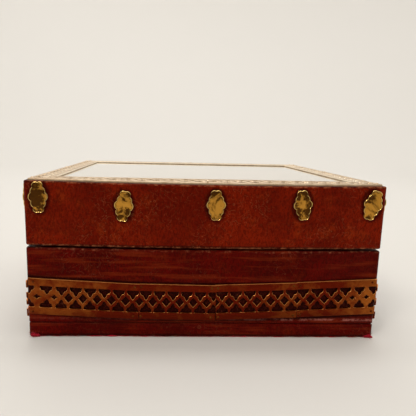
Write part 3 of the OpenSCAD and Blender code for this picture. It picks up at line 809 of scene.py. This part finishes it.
FAN_OPEN = both_ways([(0, 1.05), (0.55, 1.45), (1.15, 2.6), (1.5, 3.6), (2.7, 4.05),
                      (3.05, 4.8), (3.35, 6.45)])
FAN_TIGHT = both_ways([(0, 1.6), (0.5, 1.95), (0.95, 2.8), (1.25, 3.75), (2.3, 4.1),
                       (2.6, 4.8), (2.95, 6.4)])
STAR_OPEN = [(2.45, 0), (1.3, 1.35), (0, 2.95), (-1.3, 1.35), (-2.45, 0), (-1.3, -1.35),
             (0, -2.95), (1.3, -1.35)]
STAR_TIGHT = [(1.75, 0), (0.65, 0.6), (0, 1.45), (-0.65, 0.6), (-1.75, 0), (-0.65, -0.6),
              (0, -1.45), (0.65, -0.6)]
FAN_CELL = [(0, 0), (1.5, 1.55), (2.8, 3.25), (4, 4.15), (4, 6.75), (-4, 6.75), (-4, 4.15),
            (-2.8, 3.25), (-1.5, 1.55)]
FAN_SPLIT = [4, 4, 4, 4, 8, 4, 4, 4, 4]
STAR_CELL = [(4, 0), (2.5, 1.55), (1.2, 3.25), (0, 4.15), (-1.2, 3.25), (-2.5, 1.55), (-4, 0),
             (-2.5, -1.55), (-1.2, -3.25), (0, -4.15), (1.2, -3.25), (2.5, -1.55)]
CELL, ZONE = 8.0, 6.75


def reach_of(outline, angle):
    """How far a star-shaped outline reaches from the origin in each direction: the nearest
    crossing of the ray with the outline's edges."""
    a = np.array(outline, float)
    edge = np.roll(a, -1, 0) - a
    ray = np.stack([np.cos(angle), np.sin(angle)], -1)[:, None, :]
    cross = ray[..., 0] * edge[:, 1] - ray[..., 1] * edge[:, 0]
    cross = np.where(np.abs(cross) < 1e-9, 1e-9, cross)
    along = (a[:, 0] * edge[:, 1] - a[:, 1] * edge[:, 0]) / cross
    share = (a[:, 0] * ray[..., 1] - a[:, 1] * ray[..., 0]) / cross
    good = (along > 0) & (share > -1e-6) & (share < 1 + 1e-6)
    return np.where(good, along, 99).min(1)


def edge_run(corners, counts):
    """Points evenly along a closed run of corners, with a count for each edge."""
    a = np.array(corners, float)
    return np.concatenate([p + (q - p) * (np.arange(n) / n)[:, None]
                           for p, q, n in zip(a, np.roll(a, -1, 0), counts)])


# Section of the sheet from the middle of a bar to an opening's edge and back underneath, as
# (share of the way to the bar's middle, millimetres more, height as a share of thickness, wear,
# hollow, which is painted shade)
BAR_SECTION = [(1, 0, 1, 0, 0), (0.5, 0.15, 1, 0, 0), (0, 0.3, 0.97, 0.5, 0),
               (0, 0.14, 0.88, 1, 0), (0, 0.02, 0.62, 1, 0), (0, 0, 0.3, 0.1, 0.7),
               (0, 0, -0.1, 0, 1), (1, 0, -0.1, 0, 1)]


def lattice(first, last, height, rail_low, rail_high, openness, thick=SHEET_T):
    """A pierced sheet between two x values, in its own plane: x along, y inwards (so the face is
    at -y), z up from its middle. Each opening is meshed as rings that run from its outline to
    the cell round it; cells of fans and stars tile the lattice zone, and the rails are swept
    along above and below it. Edges that face up get the most wear value: rubbing, and also a
    painted highlight for light from above."""
    zone = height - rail_low - rail_high
    middle = (rail_low - rail_high) / 2
    ratio = zone / 2 / ZONE
    cells = np.arange(math.floor(first / CELL) - 1, math.ceil(last / CELL) + 1)
    section = np.array(BAR_SECTION)
    parts = []
    fan = (FAN_CELL, FAN_SPLIT, FAN_TIGHT, FAN_OPEN, (0, 4.7), 0.5)
    star = (STAR_CELL, [4] * 12, STAR_TIGHT, STAR_OPEN, (0, 0), 0.0)
    for (outer, split, tight, wide, heart, shift), up in ((fan, 1), (star, 1), (fan, -1)):
        rim = edge_run(outer, split) - heart
        angle = np.arctan2(rim[:, 1], rim[:, 0])
        reaches = [reach_of(np.array(shape) - heart, angle) for shape in (tight, wide)]
        centre = (cells + shift) * CELL
        share = openness(centre)[:, None]
        reach = reaches[0] * (1 - share) + reaches[1] * share
        inner = np.stack([np.cos(angle), np.sin(angle)], -1) * reach[..., None]
        gap = rim - inner
        room = np.linalg.norm(gap, axis=-1, keepdims=True)
        step = np.minimum(section[None, :, 1, None, None], room[:, None] * 0.45)
        ring = inner[:, None] + gap[:, None] * section[None, :, 0, None, None] * (
            1 - step / room[:, None]) + (gap / room)[:, None] * step
        points = np.zeros((*ring.shape[:3], 3))
        points[..., 0] = ring[..., 0] + heart[0] + centre[:, None, None]
        points[..., 1] = -section[None, :, 2, None] * thick
        points[..., 2] = (ring[..., 1] + heart[1]) * up * ratio + middle
        # Wear is scaled by how far an opening's edge faces up the sheet: on the bands a painted
        # highlight for light from above, faint on the other edges.
        outline = np.roll(inner, -1, 1) - np.roll(inner, 1, 1)
        facing = outline[..., 0] / (np.linalg.norm(outline, axis=-1) + 1e-9) * up
        painted_highlight = 0.1 + 0.9 * smooth(facing / 0.35)
        for p, l in zip(points, painted_highlight):
            parts.append(surface(p, False, True, wear=section[:, 3:4] * l[None, :],
                                 hollow=section[:, 4:5]))
    along = np.arange(cells[0] * CELL, (cells[-1] + 1) * CELL + 1e-6, CELL / 8)
    for up, width in ((1, rail_high), (-1, rail_low)):
        # The sheet's top edge gets the full wear value and its bottom edge a quarter: a painted
        # highlight on the edge that faces up. The hollow values are painted shade under the rail's
        # edge and on its back.
        edge = 1.0 if up > 0 else 0.25
        rail = np.array([(0, 1, 0, 0), (0.25, 1, 0, 0), (width - 0.4, 1, 0.2 * edge, 0),
                         (width - 0.14, 0.9, edge, 0), (width, 0.62, edge, 0),
                         (width, -0.1, 0, 0.6), (0, -0.1, 0, 1)])
        points = np.zeros((len(rail), len(along), 3))
        points[..., 0] = along
        points[..., 1] = -rail[:, 1:2] * thick
        points[..., 2] = (zone / 2 + rail[:, :1]) * up + middle
        parts.append(surface(points, False, False, wear=rail[:, 2:3], hollow=rail[:, 3:4]))
    return join(parts)


BAND_H = 21.3
BAND_RAILS = (4.1, 4.1)
STRIP_RAIL = 2.3
# Front lengths of band, left to right: middle x, length, middle height, tilt in degrees,
# pattern shift, how much of the pattern's cell width is kept, tarnish at its two ends, stretch
# of its left end
FRONT_BANDS = [(-67.3, 60.2, 23.35, -2.8, 3.5, 1.0, -0.25, 0.25, 2.0),
               (-15.4, 43.6, 21.75, -0.8, 0.05, 0.9625, 0.2, 0.25, 0),
               (29.8, 46.8, 22.6, 2.2, 0.3, 1.0, 0.25, 0.0, 0),
               (76.4, 46.4, 24.9, 3.0, 0.4, 1.025, 0.1, -0.75, 0)]


def hug_corner(points, reach):
    """Lets the ends of a band in a side's frame follow the leather's round corner."""
    over = np.clip(np.abs(points[..., 0]) - (reach - CORNER_R), 0, CORNER_R)
    out = points.copy()
    out[..., 1] += CORNER_R - np.sqrt(CORNER_R ** 2 - over ** 2)
    return out


def band_length(name, side, place, node):
    """One length of band on a side: pierced sheet, cut square at its ends, tilted, slightly
    buckled, and laid on the leather."""
    middle, length, height, tilt, start, narrow, tarnish_a, tarnish_b, stretch_by = place
    reach = HALF_W if side in (FRONT, BACK) else HALF_D
    end = start + length / narrow

    def openness(x):
        where = (x - (start + end) / 2) * narrow + middle
        return smooth((reach - 13 - np.abs(where)) / 10) if side == FRONT else x * 0 + 0.75

    part = lattice(start, end, BAND_H, *BAND_RAILS, openness)
    share = (part[0][:, 0] - start) / (end - start)
    part[2]["tarnish"] = tarnish_a + (tarnish_b - tarnish_a) * smooth((share - 0.4) / 0.6)
    lean = math.radians(tilt)

    def lay(points):
        p = points.copy()
        p[..., 0] = (p[..., 0] - (start + end) / 2) * narrow
        p[..., 0] -= stretch_by * smooth((9 - length / 2 - p[..., 0]) / 6)
        p[..., 1] -= 0.08 * (1 + waves(points * [1, 0, 1], 40 + side, 30))
        x = p[..., 0] * math.cos(lean) - p[..., 2] * math.sin(lean) + middle
        z = p[..., 0] * math.sin(lean) + p[..., 2] * math.cos(lean) + height
        return on_side(side, hug_corner(np.stack([x, p[..., 1], z], -1), reach))

    planes = [((start, 0, 0), (-1, 0, 0)), ((end, 0, 0), (1, 0, 0))]
    piece(name, part, BAND_BRASS, "base", [node], planes, lay, 30)


def bands():
    """All the bands round the base."""
    for i, place in enumerate(FRONT_BANDS):
        band_length(f"brass_band_front_{i + 1}", FRONT, place, f"band_front_{i + 1}")
    for side, name in ((RIGHT, "right"), (BACK, "back"), (LEFT, "left")):
        low, high = box_mm("band_" + name)
        length = max(high[0] - low[0], high[1] - low[1]) + 0.8
        height = (low[2] + high[2]) / 2
        band_length("brass_band_" + name, side, (0, length, height, 0.15, 3.0, 0.98, -0.1, -0.2, 0),
                    "band_" + name)


def strips():
    """The four mitred strips round the mirror: the same lattice, lower, laid flat on the lid."""
    low, high = box_mm("strip_front")
    width = high[1] - low[1]
    inset = HALF_D + low[1]
    for side, name in ((FRONT, "front"), (RIGHT, "right"), (BACK, "back"), (LEFT, "left")):
        half = (HALF_W if side in (FRONT, BACK) else HALF_D) - inset
        part = lattice(-half, half, width, STRIP_RAIL, STRIP_RAIL, lambda x: x * 0 + 0.6,
                       STRIP_T)
        planes = [((-half, 0, -width / 2), (-1, 0, 1)), ((half, 0, -width / 2), (1, 0, 1))]

        def lay(points, side=side):
            inwards = points[..., 2] + width / 2 + inset
            p = np.stack([points[..., 0], inwards, LID_TOP - points[..., 1]], -1)
            p[..., 2] += 0.05 * (1 + waves(points, 70 + side, 24))
            return settle(on_side(side, p))

        piece("brass_strip_" + name, part, STRIP_BRASS, "lid", ["strip_" + name],
              planes, lay, 30)


# ------------------------------------------------------------------ ornaments
# Circles of an ornament's right half, mirrored to its left: x, z, radius
LOBES = [(1.05, 6.5, 1.95), (2.6, 0.2, 2.7), (1.0, -6.55, 1.95), (1.45, 3.2, 2.65),
         (1.45, -3.3, 2.65)]


def lobed_reach(angle):
    """How far the six-lobed outline reaches in each direction: the furthest crossing of the ray
    with any of its circles."""
    far = np.zeros_like(angle)
    for x, z, radius in LOBES:
        for side in (-1, 1):
            along = side * x * np.cos(angle) + z * np.sin(angle)
            inside = radius ** 2 - x ** 2 - z ** 2 + along ** 2
            far = np.maximum(far, along + np.sqrt(np.maximum(inside, 0)) * (inside > 0))
    return far


def ornament(seed):
    """A pressed six-lobed plate, in its own plane: x across, y inwards, z up. Its face is gently
    domed inside a raised round rim, and dented a little."""
    rng = np.random.default_rng(seed)
    angle = np.linspace(0, 2 * math.pi, 160, endpoint=False)
    far = lobed_reach(angle)
    # (inset from the outline, share of the face, height, wear, hollow, which is painted shade)
    section = [(0, 0, -0.1, 0, 1), (0, 1, -0.1, 0, 1), (0, 1, 0.5, 0.2, 0.8),
               (0.03, 1, 0.9, 1, 0), (0.12, 1, 1.12, 1, 0), (0.24, 1, 1.18, 1, 0),
               (0.36, 1, 1.12, 0.9, 0), (0.5, 1, 0.92, 0.1, 0.45), (0.7, 1, 0.85, 0, 0.3),
               (0.95, 1, 0.85, 0, 0), (1.2, 0.86, 0.85, 0, 0), (1.2, 0.68, 0.85, 0, 0),
               (1.2, 0.48, 0.85, 0, 0), (1.2, 0.26, 0.85, 0, 0), (1.2, 0.1, 0.85, 0, 0),
               (1.2, 0, 0.85, 0, 0)]
    inset, share, height, wear, hollow = (np.array(c)[:, None] for c in zip(*section))
    reach = (far[None, :] - inset) * share
    points = np.stack([reach * np.cos(angle), -np.broadcast_to(height, reach.shape),
                       reach * np.sin(angle)], -1)
    face = (height > 0.8) & (inset > 0.6)
    oval = (points[..., 0] / 5.5) ** 2 + (points[..., 2] / 8.6) ** 2
    dents = waves(points * [1, 0, 1], seed + 90, 8)
    points[..., 1] -= face * (0.34 * (1 - oval) + 0.10 * dents)
    tip, turn = rng.uniform(-0.04, 0.04, 2)
    points[..., 1] -= (points[..., 2] * tip + points[..., 0] * turn) * (height > 0)
    return surface(points, False, True, wear=wear, hollow=hollow,
                   tarnish=rng.uniform(-0.2, 0.45))


def placed_ornament(side, place, seed):
    """An ornament on a side of the lid: along, height, tilt in degrees."""
    x, z, tilt = place
    lean = math.radians(tilt)
    reach = HALF_W if side in (FRONT, BACK) else HALF_D

    def lay(p):
        px = p[..., 0] * math.cos(lean) - p[..., 2] * math.sin(lean) + x
        pz = p[..., 0] * math.sin(lean) + p[..., 2] * math.cos(lean) + z
        return on_side(side, hug_corner(np.stack([px, p[..., 1], pz], -1), reach + 0.4))

    return move(ornament(seed), lay)


def ornaments():
    """Five plates on the front, each a piece, and a group on each other side."""
    for i, place in enumerate(ORNAMENTS[FRONT]):
        piece(f"brass_ornament_front_{i + 1}", placed_ornament(FRONT, place, 11 + i),
              ORNAMENT_BRASS, "lid", [f"ornament_front_{i + 1}"], sharp=50)
    for side, name in ((RIGHT, "right"), (BACK, "back"), (LEFT, "left")):
        plates = [placed_ornament(side, place, 20 + 7 * side + i)
                  for i, place in enumerate(ORNAMENTS[side])]
        piece("brass_ornaments_" + name, join(plates), ORNAMENT_BRASS, "lid",
              ["ornaments_" + name], sharp=50)


# ------------------------------------------------------------------ mirror
def mirror():
    """The pane: ground edges, flat face. rim is 1 at its edge and falls to 0 over 30 mm."""
    low, high = box_mm("lid_mirror")
    points, faces, values = soft_box(low, high, 0.25, 5)
    gap = np.minimum(high[0] - np.abs(points[:, 0]), high[1] - np.abs(points[:, 1]))
    values["rim"] = np.exp(-gap / 14)
    piece("top_mirror", (points, faces, values), MIRROR, "lid", ["lid_mirror"])


# ------------------------------------------------------------------ felt
def felt_sheet():
    """The underlay: a thin soft slab whose edge wanders in and out under the leather."""
    low, high = box_mm("base_felt")
    points, faces, values = soft_box(low, high, 0.55, 2.2, 3)
    ragged = waves(points * [1, 1, 0], 5, 7) + 0.6 * waves(points * [1, 1, 0], 6, 2.2)
    flat = np.abs(points[:, :2]) / high[:2]
    edge = smooth((flat - 0.97) / 0.03)
    points[:, :2] -= np.sign(points[:, :2]) * edge * (0.75 - 0.45 * ragged[:, None])
    piece("felt_underlay", (points, faces, values), RED_FELT, "base", ["base_felt"])


def fibres(starts, directions, lengths, seed):
    """Curling threads: each leaves its start along its direction, is bent by a slow random turn
    and droops, and thins to a point at both ends."""
    radius, sides, joints = 0.07, 3, 7
    rng = np.random.default_rng(seed)
    count = len(starts)
    t = np.linspace(0, 1, joints)[None, :, None]
    bend = rng.normal(size=(count, 1, 3))
    curl = rng.normal(size=(count, 1, 3))
    line = (starts[:, None] + directions[:, None] * lengths[:, None, None] * t
            + bend * lengths[:, None, None] * 0.35 * t ** 2
            + curl * lengths[:, None, None] * 0.16 * np.sin(5 * t))
    line[..., 2] = np.maximum(line[..., 2], 0.12)
    ahead = np.gradient(line, axis=1)
    ahead /= np.linalg.norm(ahead, axis=-1, keepdims=True)
    across = np.cross(ahead, [0.31, 0.77, 0.56])
    across /= np.linalg.norm(across, axis=-1, keepdims=True)
    other = np.cross(ahead, across)
    angle = np.arange(sides) * 2 * math.pi / sides
    swell = radius * np.sin(math.pi * np.clip(t, 0.0, 1)) ** 0.5
    tube = line[:, :, None] + swell[..., None] * (across[:, :, None] * np.cos(angle)[:, None]
                                                  + other[:, :, None] * np.sin(angle)[:, None])
    return join([surface(thread, False, True, wear=0.0) for thread in tube])


def felt_tuft(name, side, size, seed):
    """A torn corner of felt that has pushed out from under the leather: two crumpled lumps
    covered in loose fibres. side is -1 for the left front corner and 1 for the right."""
    rng = np.random.default_rng(seed)
    parts, starts, outs = [], [], []
    for k, (dx, dy, dz, rx, ry, rz) in enumerate([(1.1, 0.1, 1.3, 1.3, 0.8, 1.25),
                                                  (2.7, 0.0, 0.9, 1.7, 0.7, 0.85),
                                                  (1.2, 1.7, 0.8, 0.8, 1.4, 0.75)]):
        middle = np.array([side * (HALF_W - 1.0 - dx * size), -HALF_D + 0.35 + dy * size, dz])
        u, v = np.meshgrid(np.linspace(0, math.pi, 22), np.linspace(0, 2 * math.pi, 36)[:-1],
                           indexing="ij")
        shape = np.stack([np.sin(u) * np.cos(v), np.sin(u) * np.sin(v), np.cos(u)], -1)
        lumps = 1 + 0.22 * waves(shape * 3, seed + k, 2.2) + 0.08 * waves(shape * 3, seed + 9, 0.7)
        points = middle + shape * np.array([rx, ry, rz]) * size * lumps[..., None]
        points[..., 2] = np.maximum(points[..., 2], 0.02)
        parts.append(surface(points, False, True, wear=0.0))
        pick = rng.integers(2, 20, 70), rng.integers(0, 35, 70)
        starts.append(points[pick])
        outs.append(shape[pick] + rng.normal(size=(70, 3)) * 0.5)
    starts, outs = np.concatenate(starts), np.concatenate(outs)
    outs /= np.linalg.norm(outs, axis=1, keepdims=True)
    parts.append(fibres(starts, outs, rng.uniform(0.4, 1.5, len(starts)) * size, seed + 3))
    piece(name, join(parts), RED_FELT, "base", sharp=80)


# ------------------------------------------------------------------ lining and tray
def soft_node(node, radius, body):
    """A CAD block of the lining remade in velvet with rounded edges."""
    part = soft_box(*box_mm(node), radius, 5)
    piece(node + "_velvet", part, RED_VELVET, body, [node])


def wall_lining(name, node, body, low_r, high_r):
    """Velvet round the inside of the walls, with soft top and bottom edges."""
    low, high = box_mm(node)
    inner = 0.95
    half_w, half_d = high[0], high[1]
    corners = [(0.05, low[2], low_r), (0.05, high[2], high_r), (inner, high[2], high_r),
               (inner, low[2], low_r)]
    part = ring_shell(corners, half_w, half_d, 0.3, 4, 3, 60)
    piece(name, part, RED_VELVET, body, [node])


def tray_shell():
    """The tray's leather-covered walls, rounded over at the top."""
    low, high = box_mm("tray_walls")
    floor_high = box_mm("tray_floor")[1]
    thick = high[0] - floor_high[0]
    corners = [(0, low[2], 0.5), (0, high[2], 1.1), (thick, high[2], 1.1),
               (thick, low[2], 0.2)]
    part = ring_shell(corners, high[0], high[1], 1.6, 3, 6, 60, 0.12, 21)
    piece("tray_wall_leather", part, TRAY_LEATHER, "tray", ["tray_walls"])


def lid_padding():
    """Buttoned padding under the lid: a slab whose lower face swells between its buttons. The
    swelling is a root of the distance to the nearest fold (a line from a button to its
    neighbours) and to the edge, with small puckers round each button."""
    low, high = box_mm("lid_padding")
    b_low, b_high = box_mm("lid_pad_buttons")
    radius = 3.0
    step_x = (b_high[0] - b_low[0] - 2 * radius) / 2
    step_y = (b_high[1] - b_low[1] - 2 * radius) / 2
    buttons = [(i * step_x, j * step_y) for i in (-1, 0, 1) for j in (-1, 1)]
    buttons += [(i * step_x / 2, 0) for i in (-1, 1)]
    x = np.linspace(low[0], high[0], 188)
    y = np.linspace(low[1], high[1], 158)
    px, py = np.meshgrid(x, y, indexing="ij")
    anchors = [(i * step_x, j * high[1]) for i in (-0.5, 0.5, 1.5, -1.5) for j in (-1, 1)]
    anchors += [(i * high[0], j * step_y / 2) for i in (-1, 1) for j in (-1, 1, 0)]
    folds = []
    for i, a in enumerate(buttons):
        for b in buttons[i + 1:] + anchors:
            if np.hypot(a[0] - b[0], a[1] - b[1]) < np.hypot(step_x, step_y) * 0.8:
                folds.append((a, b))
    fold = np.full(px.shape, 99.0)
    for a, b in folds:
        ab = np.subtract(b, a)
        t = np.clip(((px - a[0]) * ab[0] + (py - a[1]) * ab[1]) / (ab @ ab), 0, 1)
        fold = np.minimum(fold, np.hypot(px - a[0] - t * ab[0], py - a[1] - t * ab[1]))
    edge = np.minimum(high[0] - np.abs(px), high[1] - np.abs(py))
    button = np.min([np.hypot(px - a, py - b) for a, b in buttons], 0)
    spin = np.min([np.where(np.hypot(px - a, py - b) <= button + 1e-6,
                            np.sin(9 * np.arctan2(py - b, px - a)), 9) for a, b in buttons], 0)
    swell = 3.4 * np.sqrt(smooth(edge / 16)) * smooth((button + 2) / 20) * (
        0.62 + 0.38 * smooth(fold / 9))
    swell += 0.28 * spin * np.exp(-((button - 5) / 3.5) ** 2)
    swell += 0.12 * waves(np.stack([px, py], -1), 31, 16)
    flat = np.stack([px, py, np.full(px.shape, high[2])], -1)
    puffed = np.stack([px, py, high[2] - 1.8 - np.maximum(swell, 0)], -1)
    rim = smooth(edge / 0.7)[..., None]
    puffed = puffed * rim + (flat - [0, 0, 0.6]) * (1 - rim)
    sides = []
    for cut in (np.s_[:, 0], np.s_[:, -1], np.s_[0, :], np.s_[-1, :]):
        sides.append(surface(np.stack([flat[cut], puffed[cut]])))
    part = join([surface(flat), surface(puffed), *sides])
    pad = piece("lid_padding_velvet", part, RED_VELVET, "lid", ["lid_padding"],
                sharp=60)
    knobs = []
    for bx, by in buttons:
        angle = np.linspace(0, math.pi / 2, 7)
        depth = high[2] - 3.6
        knobs.append(turned([0, *(radius * np.sin(angle[1:])), radius * 0.9, 0],
                            [-1.5, *(-1.5 * np.cos(angle[1:])), 1.2, 1.4],
                            (bx, by, depth), 24))
    piece("lid_padding_buttons", join(knobs), RED_VELVET, "lid", ["lid_pad_buttons"])


def ring_rolls():
    """Five stuffed rolls: each section is a flattened round that presses on its bed and on its
    neighbours, drawn in at the ends, with a few soft creases."""
    low, high = box_mm("ring_rolls")
    count, radius = 5, 6.0
    pitch = (high[1] - low[1] - 2 * radius) / (count - 1)
    length = high[0] - low[0]
    rolls = []
    for i in range(count):
        t = np.concatenate([[0], np.sin(np.linspace(0, 1, 9)[1:] * math.pi / 2) * 0.035,
                            np.linspace(0.05, 0.95, 46),
                            1 - np.sin(np.linspace(1, 0, 9)[:-1] * math.pi / 2) * 0.035, [1]])
        end = np.minimum(t, 1 - t) / 0.035
        pull = np.sqrt(np.clip(1 - (1 - np.clip(end, 0, 1)) ** 2, 0, 1))[:, None]
        angle = np.linspace(0, 2 * math.pi, 41)[:-1][None, :]
        puff = 1 + 0.035 * np.sin(math.pi * t)[:, None]
        side = np.sign(np.cos(angle)) * np.abs(np.cos(angle)) ** 0.85 * radius * 1.06
        rise = np.sign(np.sin(angle)) * np.abs(np.sin(angle)) ** 0.85 * radius * 0.95
        points = np.zeros((len(t), 40, 3))
        points[..., 0] = (low[0] + t * length)[:, None]
        points[..., 1] = low[1] + radius + i * pitch + side * pull * puff
        points[..., 2] = (low[2] + high[2]) / 2 + rise * pull * puff
        crease = waves(points * [1, 0.4, 0.4], 50 + i, 9) * 0.16
        crease += 0.3 * np.exp(-np.minimum(t, 1 - t)[:, None] * 22) * np.sin(11 * angle + i)
        middle = np.stack([points[..., 0], np.full(points.shape[:2], low[1] + radius + i * pitch),
                           np.full(points.shape[:2], (low[2] + high[2]) / 2)], -1)
        out = points - middle
        points = middle + out * (1 + crease * pull / radius)[..., None]
        points[..., 2] = np.maximum(points[..., 2], low[2])
        rolls.append(surface(points, False, True))
    pad = piece("ring_roll_velvet", join(rolls), RED_VELVET, "tray", ["ring_rolls"],
                sharp=70)


def pull_tabs():
    """Two folded ribbon loops that stand up from inside the tray's end walls: a strip of ribbon
    carried along a flattened loop, thickened both ways."""
    low, high = box_mm("tray_pull_tabs")
    thick = 0.35
    loops = []
    for side, centre in ((-1, 30.0), (1, -20.0)):
        s = np.linspace(0, 1, 60)[:, None]
        angle = math.pi * smooth((s - 0.42) / 0.16)
        bow = 0.55 + 0.5 * np.sin(math.pi * smooth((s - 0.3) / 0.4)) ** 2
        up = np.where(s < 0.5, smooth(s / 0.46), smooth((1 - s) / 0.46))
        inward = bow * np.cos(angle) * -0.62 + 1.25
        height = low[2] + (high[2] - low[2] - thick) * up
        across = np.linspace(-6.5, 6.5, 14)[None, :]
        sheet_in = np.broadcast_to(inward, (60, 14)) + 0.12 * np.cos(across / 2.3) * up
        base = np.stack([side * (high[0] - sheet_in), centre + across * (1 - 0.06 * up),
                         np.broadcast_to(height, (60, 14))], -1)
        normal = np.stack([np.gradient(base[..., 2], axis=0), 0 * height + 0 * across,
                           -np.gradient(base[..., 0], axis=0)], -1)
        normal /= np.linalg.norm(normal, axis=-1, keepdims=True) + 1e-9
        a, b = base + normal * thick / 2, base - normal * thick / 2
        around_it = np.concatenate([a, b[:, ::-1]], 1)
        shell = surface(around_it, False, True)
        caps = [surface(np.stack([a[e], b[e]])) for e in (0, -1)]
        loops.append(join([shell, *caps]))
    piece("tray_ribbon_tabs", join(loops), RIBBON, "tray", ["tray_pull_tabs"],
          sharp=60)


def inside():
    """Everything that shows once the lid is up."""
    wall_lining("base_lining_velvet", "base_wall_lining", "base", 0.2, 0.4)
    wall_lining("lid_lining_velvet", "lid_wall_lining", "lid", 0.4, 0.2)
    for node, radius, body in (("base_floor_lining", 0.3, "base"),
                               ("base_long_divider", 1.2, "base"),
                               ("base_cross_divider", 1.2, "base"),
                               ("tray_rest_left", 0.8, "base"), ("tray_rest_right", 0.8, "base"),
                               ("tray_floor_lining", 0.3, "tray"),
                               ("tray_middle_divider", 1.1, "tray"),
                               ("tray_left_divider", 1.1, "tray"),
                               ("tray_right_divider", 1.1, "tray"),
                               ("ring_roll_bed", 0.7, "tray")):
        soft_node(node, radius, body)
    tray_shell()
    lid_padding()
    ring_rolls()
    pull_tabs()


def paint_cad_nodes():
    """Gives the CAD nodes that stay their materials."""
    for name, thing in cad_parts.items():
        if thing.hide_render:
            continue
        material = WOOD if ("board" in name or name == "tray_floor") else HINGE_BRASS
        if name in ("band_pins", "strip_pins"):
            material = PIN_BRASS if name == "band_pins" else STRIP_BRASS
        thing.data.materials.clear()
        thing.data.materials.append(material)


# ------------------------------------------------------------------ camera, floor and light
def camera():
    """A short lens a little above the lid, aimed slightly right and down and tipped by a degree
    or so, with the frame shifted across."""
    yaw, pitch, roll = (math.radians(a) for a in (2.24, 9.75, 1.30))
    ahead = Vector((math.sin(yaw) * math.cos(pitch), math.cos(yaw) * math.cos(pitch),
                    -math.sin(pitch)))
    level = Vector((math.cos(yaw), -math.sin(yaw), 0))
    up = level.cross(ahead)
    right = level * math.cos(roll) + up * math.sin(roll)
    up = right.cross(ahead)
    data = bpy.data.cameras.new("camera")
    data.sensor_width, data.lens, data.shift_x = 36, 35.65, 0.0624
    data.clip_start, data.clip_end = 0.01, 50
    thing = bpy.data.objects.new("camera", data)
    bpy.context.scene.collection.objects.link(thing)
    turn = Matrix((right, up, -ahead)).transposed().to_4x4()
    turn.translation = Vector((-22.75, -308.2, 114.57)) * MM
    thing.matrix_world = turn
    bpy.context.scene.camera = thing


def lamp(name, place, target, size, power, colour):
    """A square soft light that faces a point."""
    data = bpy.data.lights.new(name, "AREA")
    data.shape, data.size, data.energy, data.color = "SQUARE", size, power, colour
    thing = bpy.data.objects.new(name, data)
    thing.location = place
    thing.rotation_euler = (Vector(target) - Vector(place)).to_track_quat("-Z", "Y").to_euler()
    bpy.context.scene.collection.objects.link(thing)


def studio():
    """A pale round floor that curves up into a wall well away from the case (a quarter turn of
    0.9 m), broad soft lights overhead and a smaller one from the front left."""
    material, tree, _, shader = new_material("studio_floor")
    finish_shader(tree, shader, (0.67, 0.65, 0.62, 1.0), 0.65, Specular_IOR_Level=0.25)
    bend = np.linspace(0, math.pi / 2, 15)[1:]
    out = np.concatenate([[0, 0.3, 0.6, 0.9, 1.2], 1.2 + 0.9 * np.sin(bend), [2.1, 2.1]])
    rise = np.concatenate([np.zeros(5), 0.9 * (1 - np.cos(bend)), [1.8, 2.7]])
    angle = np.arange(64) * 2 * math.pi / 64
    points = np.stack([out[:, None] * np.cos(angle), out[:, None] * np.sin(angle),
                       np.broadcast_to(rise[:, None], (len(out), 64))], -1) * 1000
    flat, faces, _ = surface(points, False, True)
    mesh = bpy.data.meshes.new("floor")
    mesh.from_pydata((flat * MM).tolist(), [], faces.tolist())
    mesh.polygons.foreach_set("use_smooth", np.ones(len(faces), bool))
    mesh.materials.append(material)
    floor = bpy.data.objects.new("floor", mesh)
    bpy.context.scene.collection.objects.link(floor)
    world = bpy.data.worlds.new("room")
    bpy.context.scene.world = world
    world.use_nodes = True
    background = world.node_tree.nodes["Background"].inputs
    background[0].default_value = (0.80, 0.79, 0.76, 1)
    background[1].default_value = 0.55
    lamp("overhead", (0.1, 0.25, 1.5), (0, 0, 0), 2.4, 12.5, (1.0, 0.98, 0.94))
    lamp("backdrop_wash", (0, 0.6, 2.4), (0, 2.1, 1.2), 1.4, 31, (1.0, 0.99, 0.97))
    lamp("front_wash", (0, -0.5, 2.3), (0, -2.1, 0.9), 1.2, 8, (1.0, 0.98, 0.94))
    lamp("front_left", (-0.7, -0.9, 1.3), (0, 0, 0.05), 0.4, 7, (1.0, 0.95, 0.88))
    scene = bpy.context.scene
    scene.view_settings.view_transform = "Standard"
    scene.view_settings.look = "None"


camera()
base_cover()
lid_cover()
bands()
strips()
ornaments()
mirror()
felt_sheet()
felt_tuft("felt_tuft_left", -1, 1.2, 301)
felt_tuft("felt_tuft_right", 1, 0.9, 302)
inside()
paint_cad_nodes()
studio()
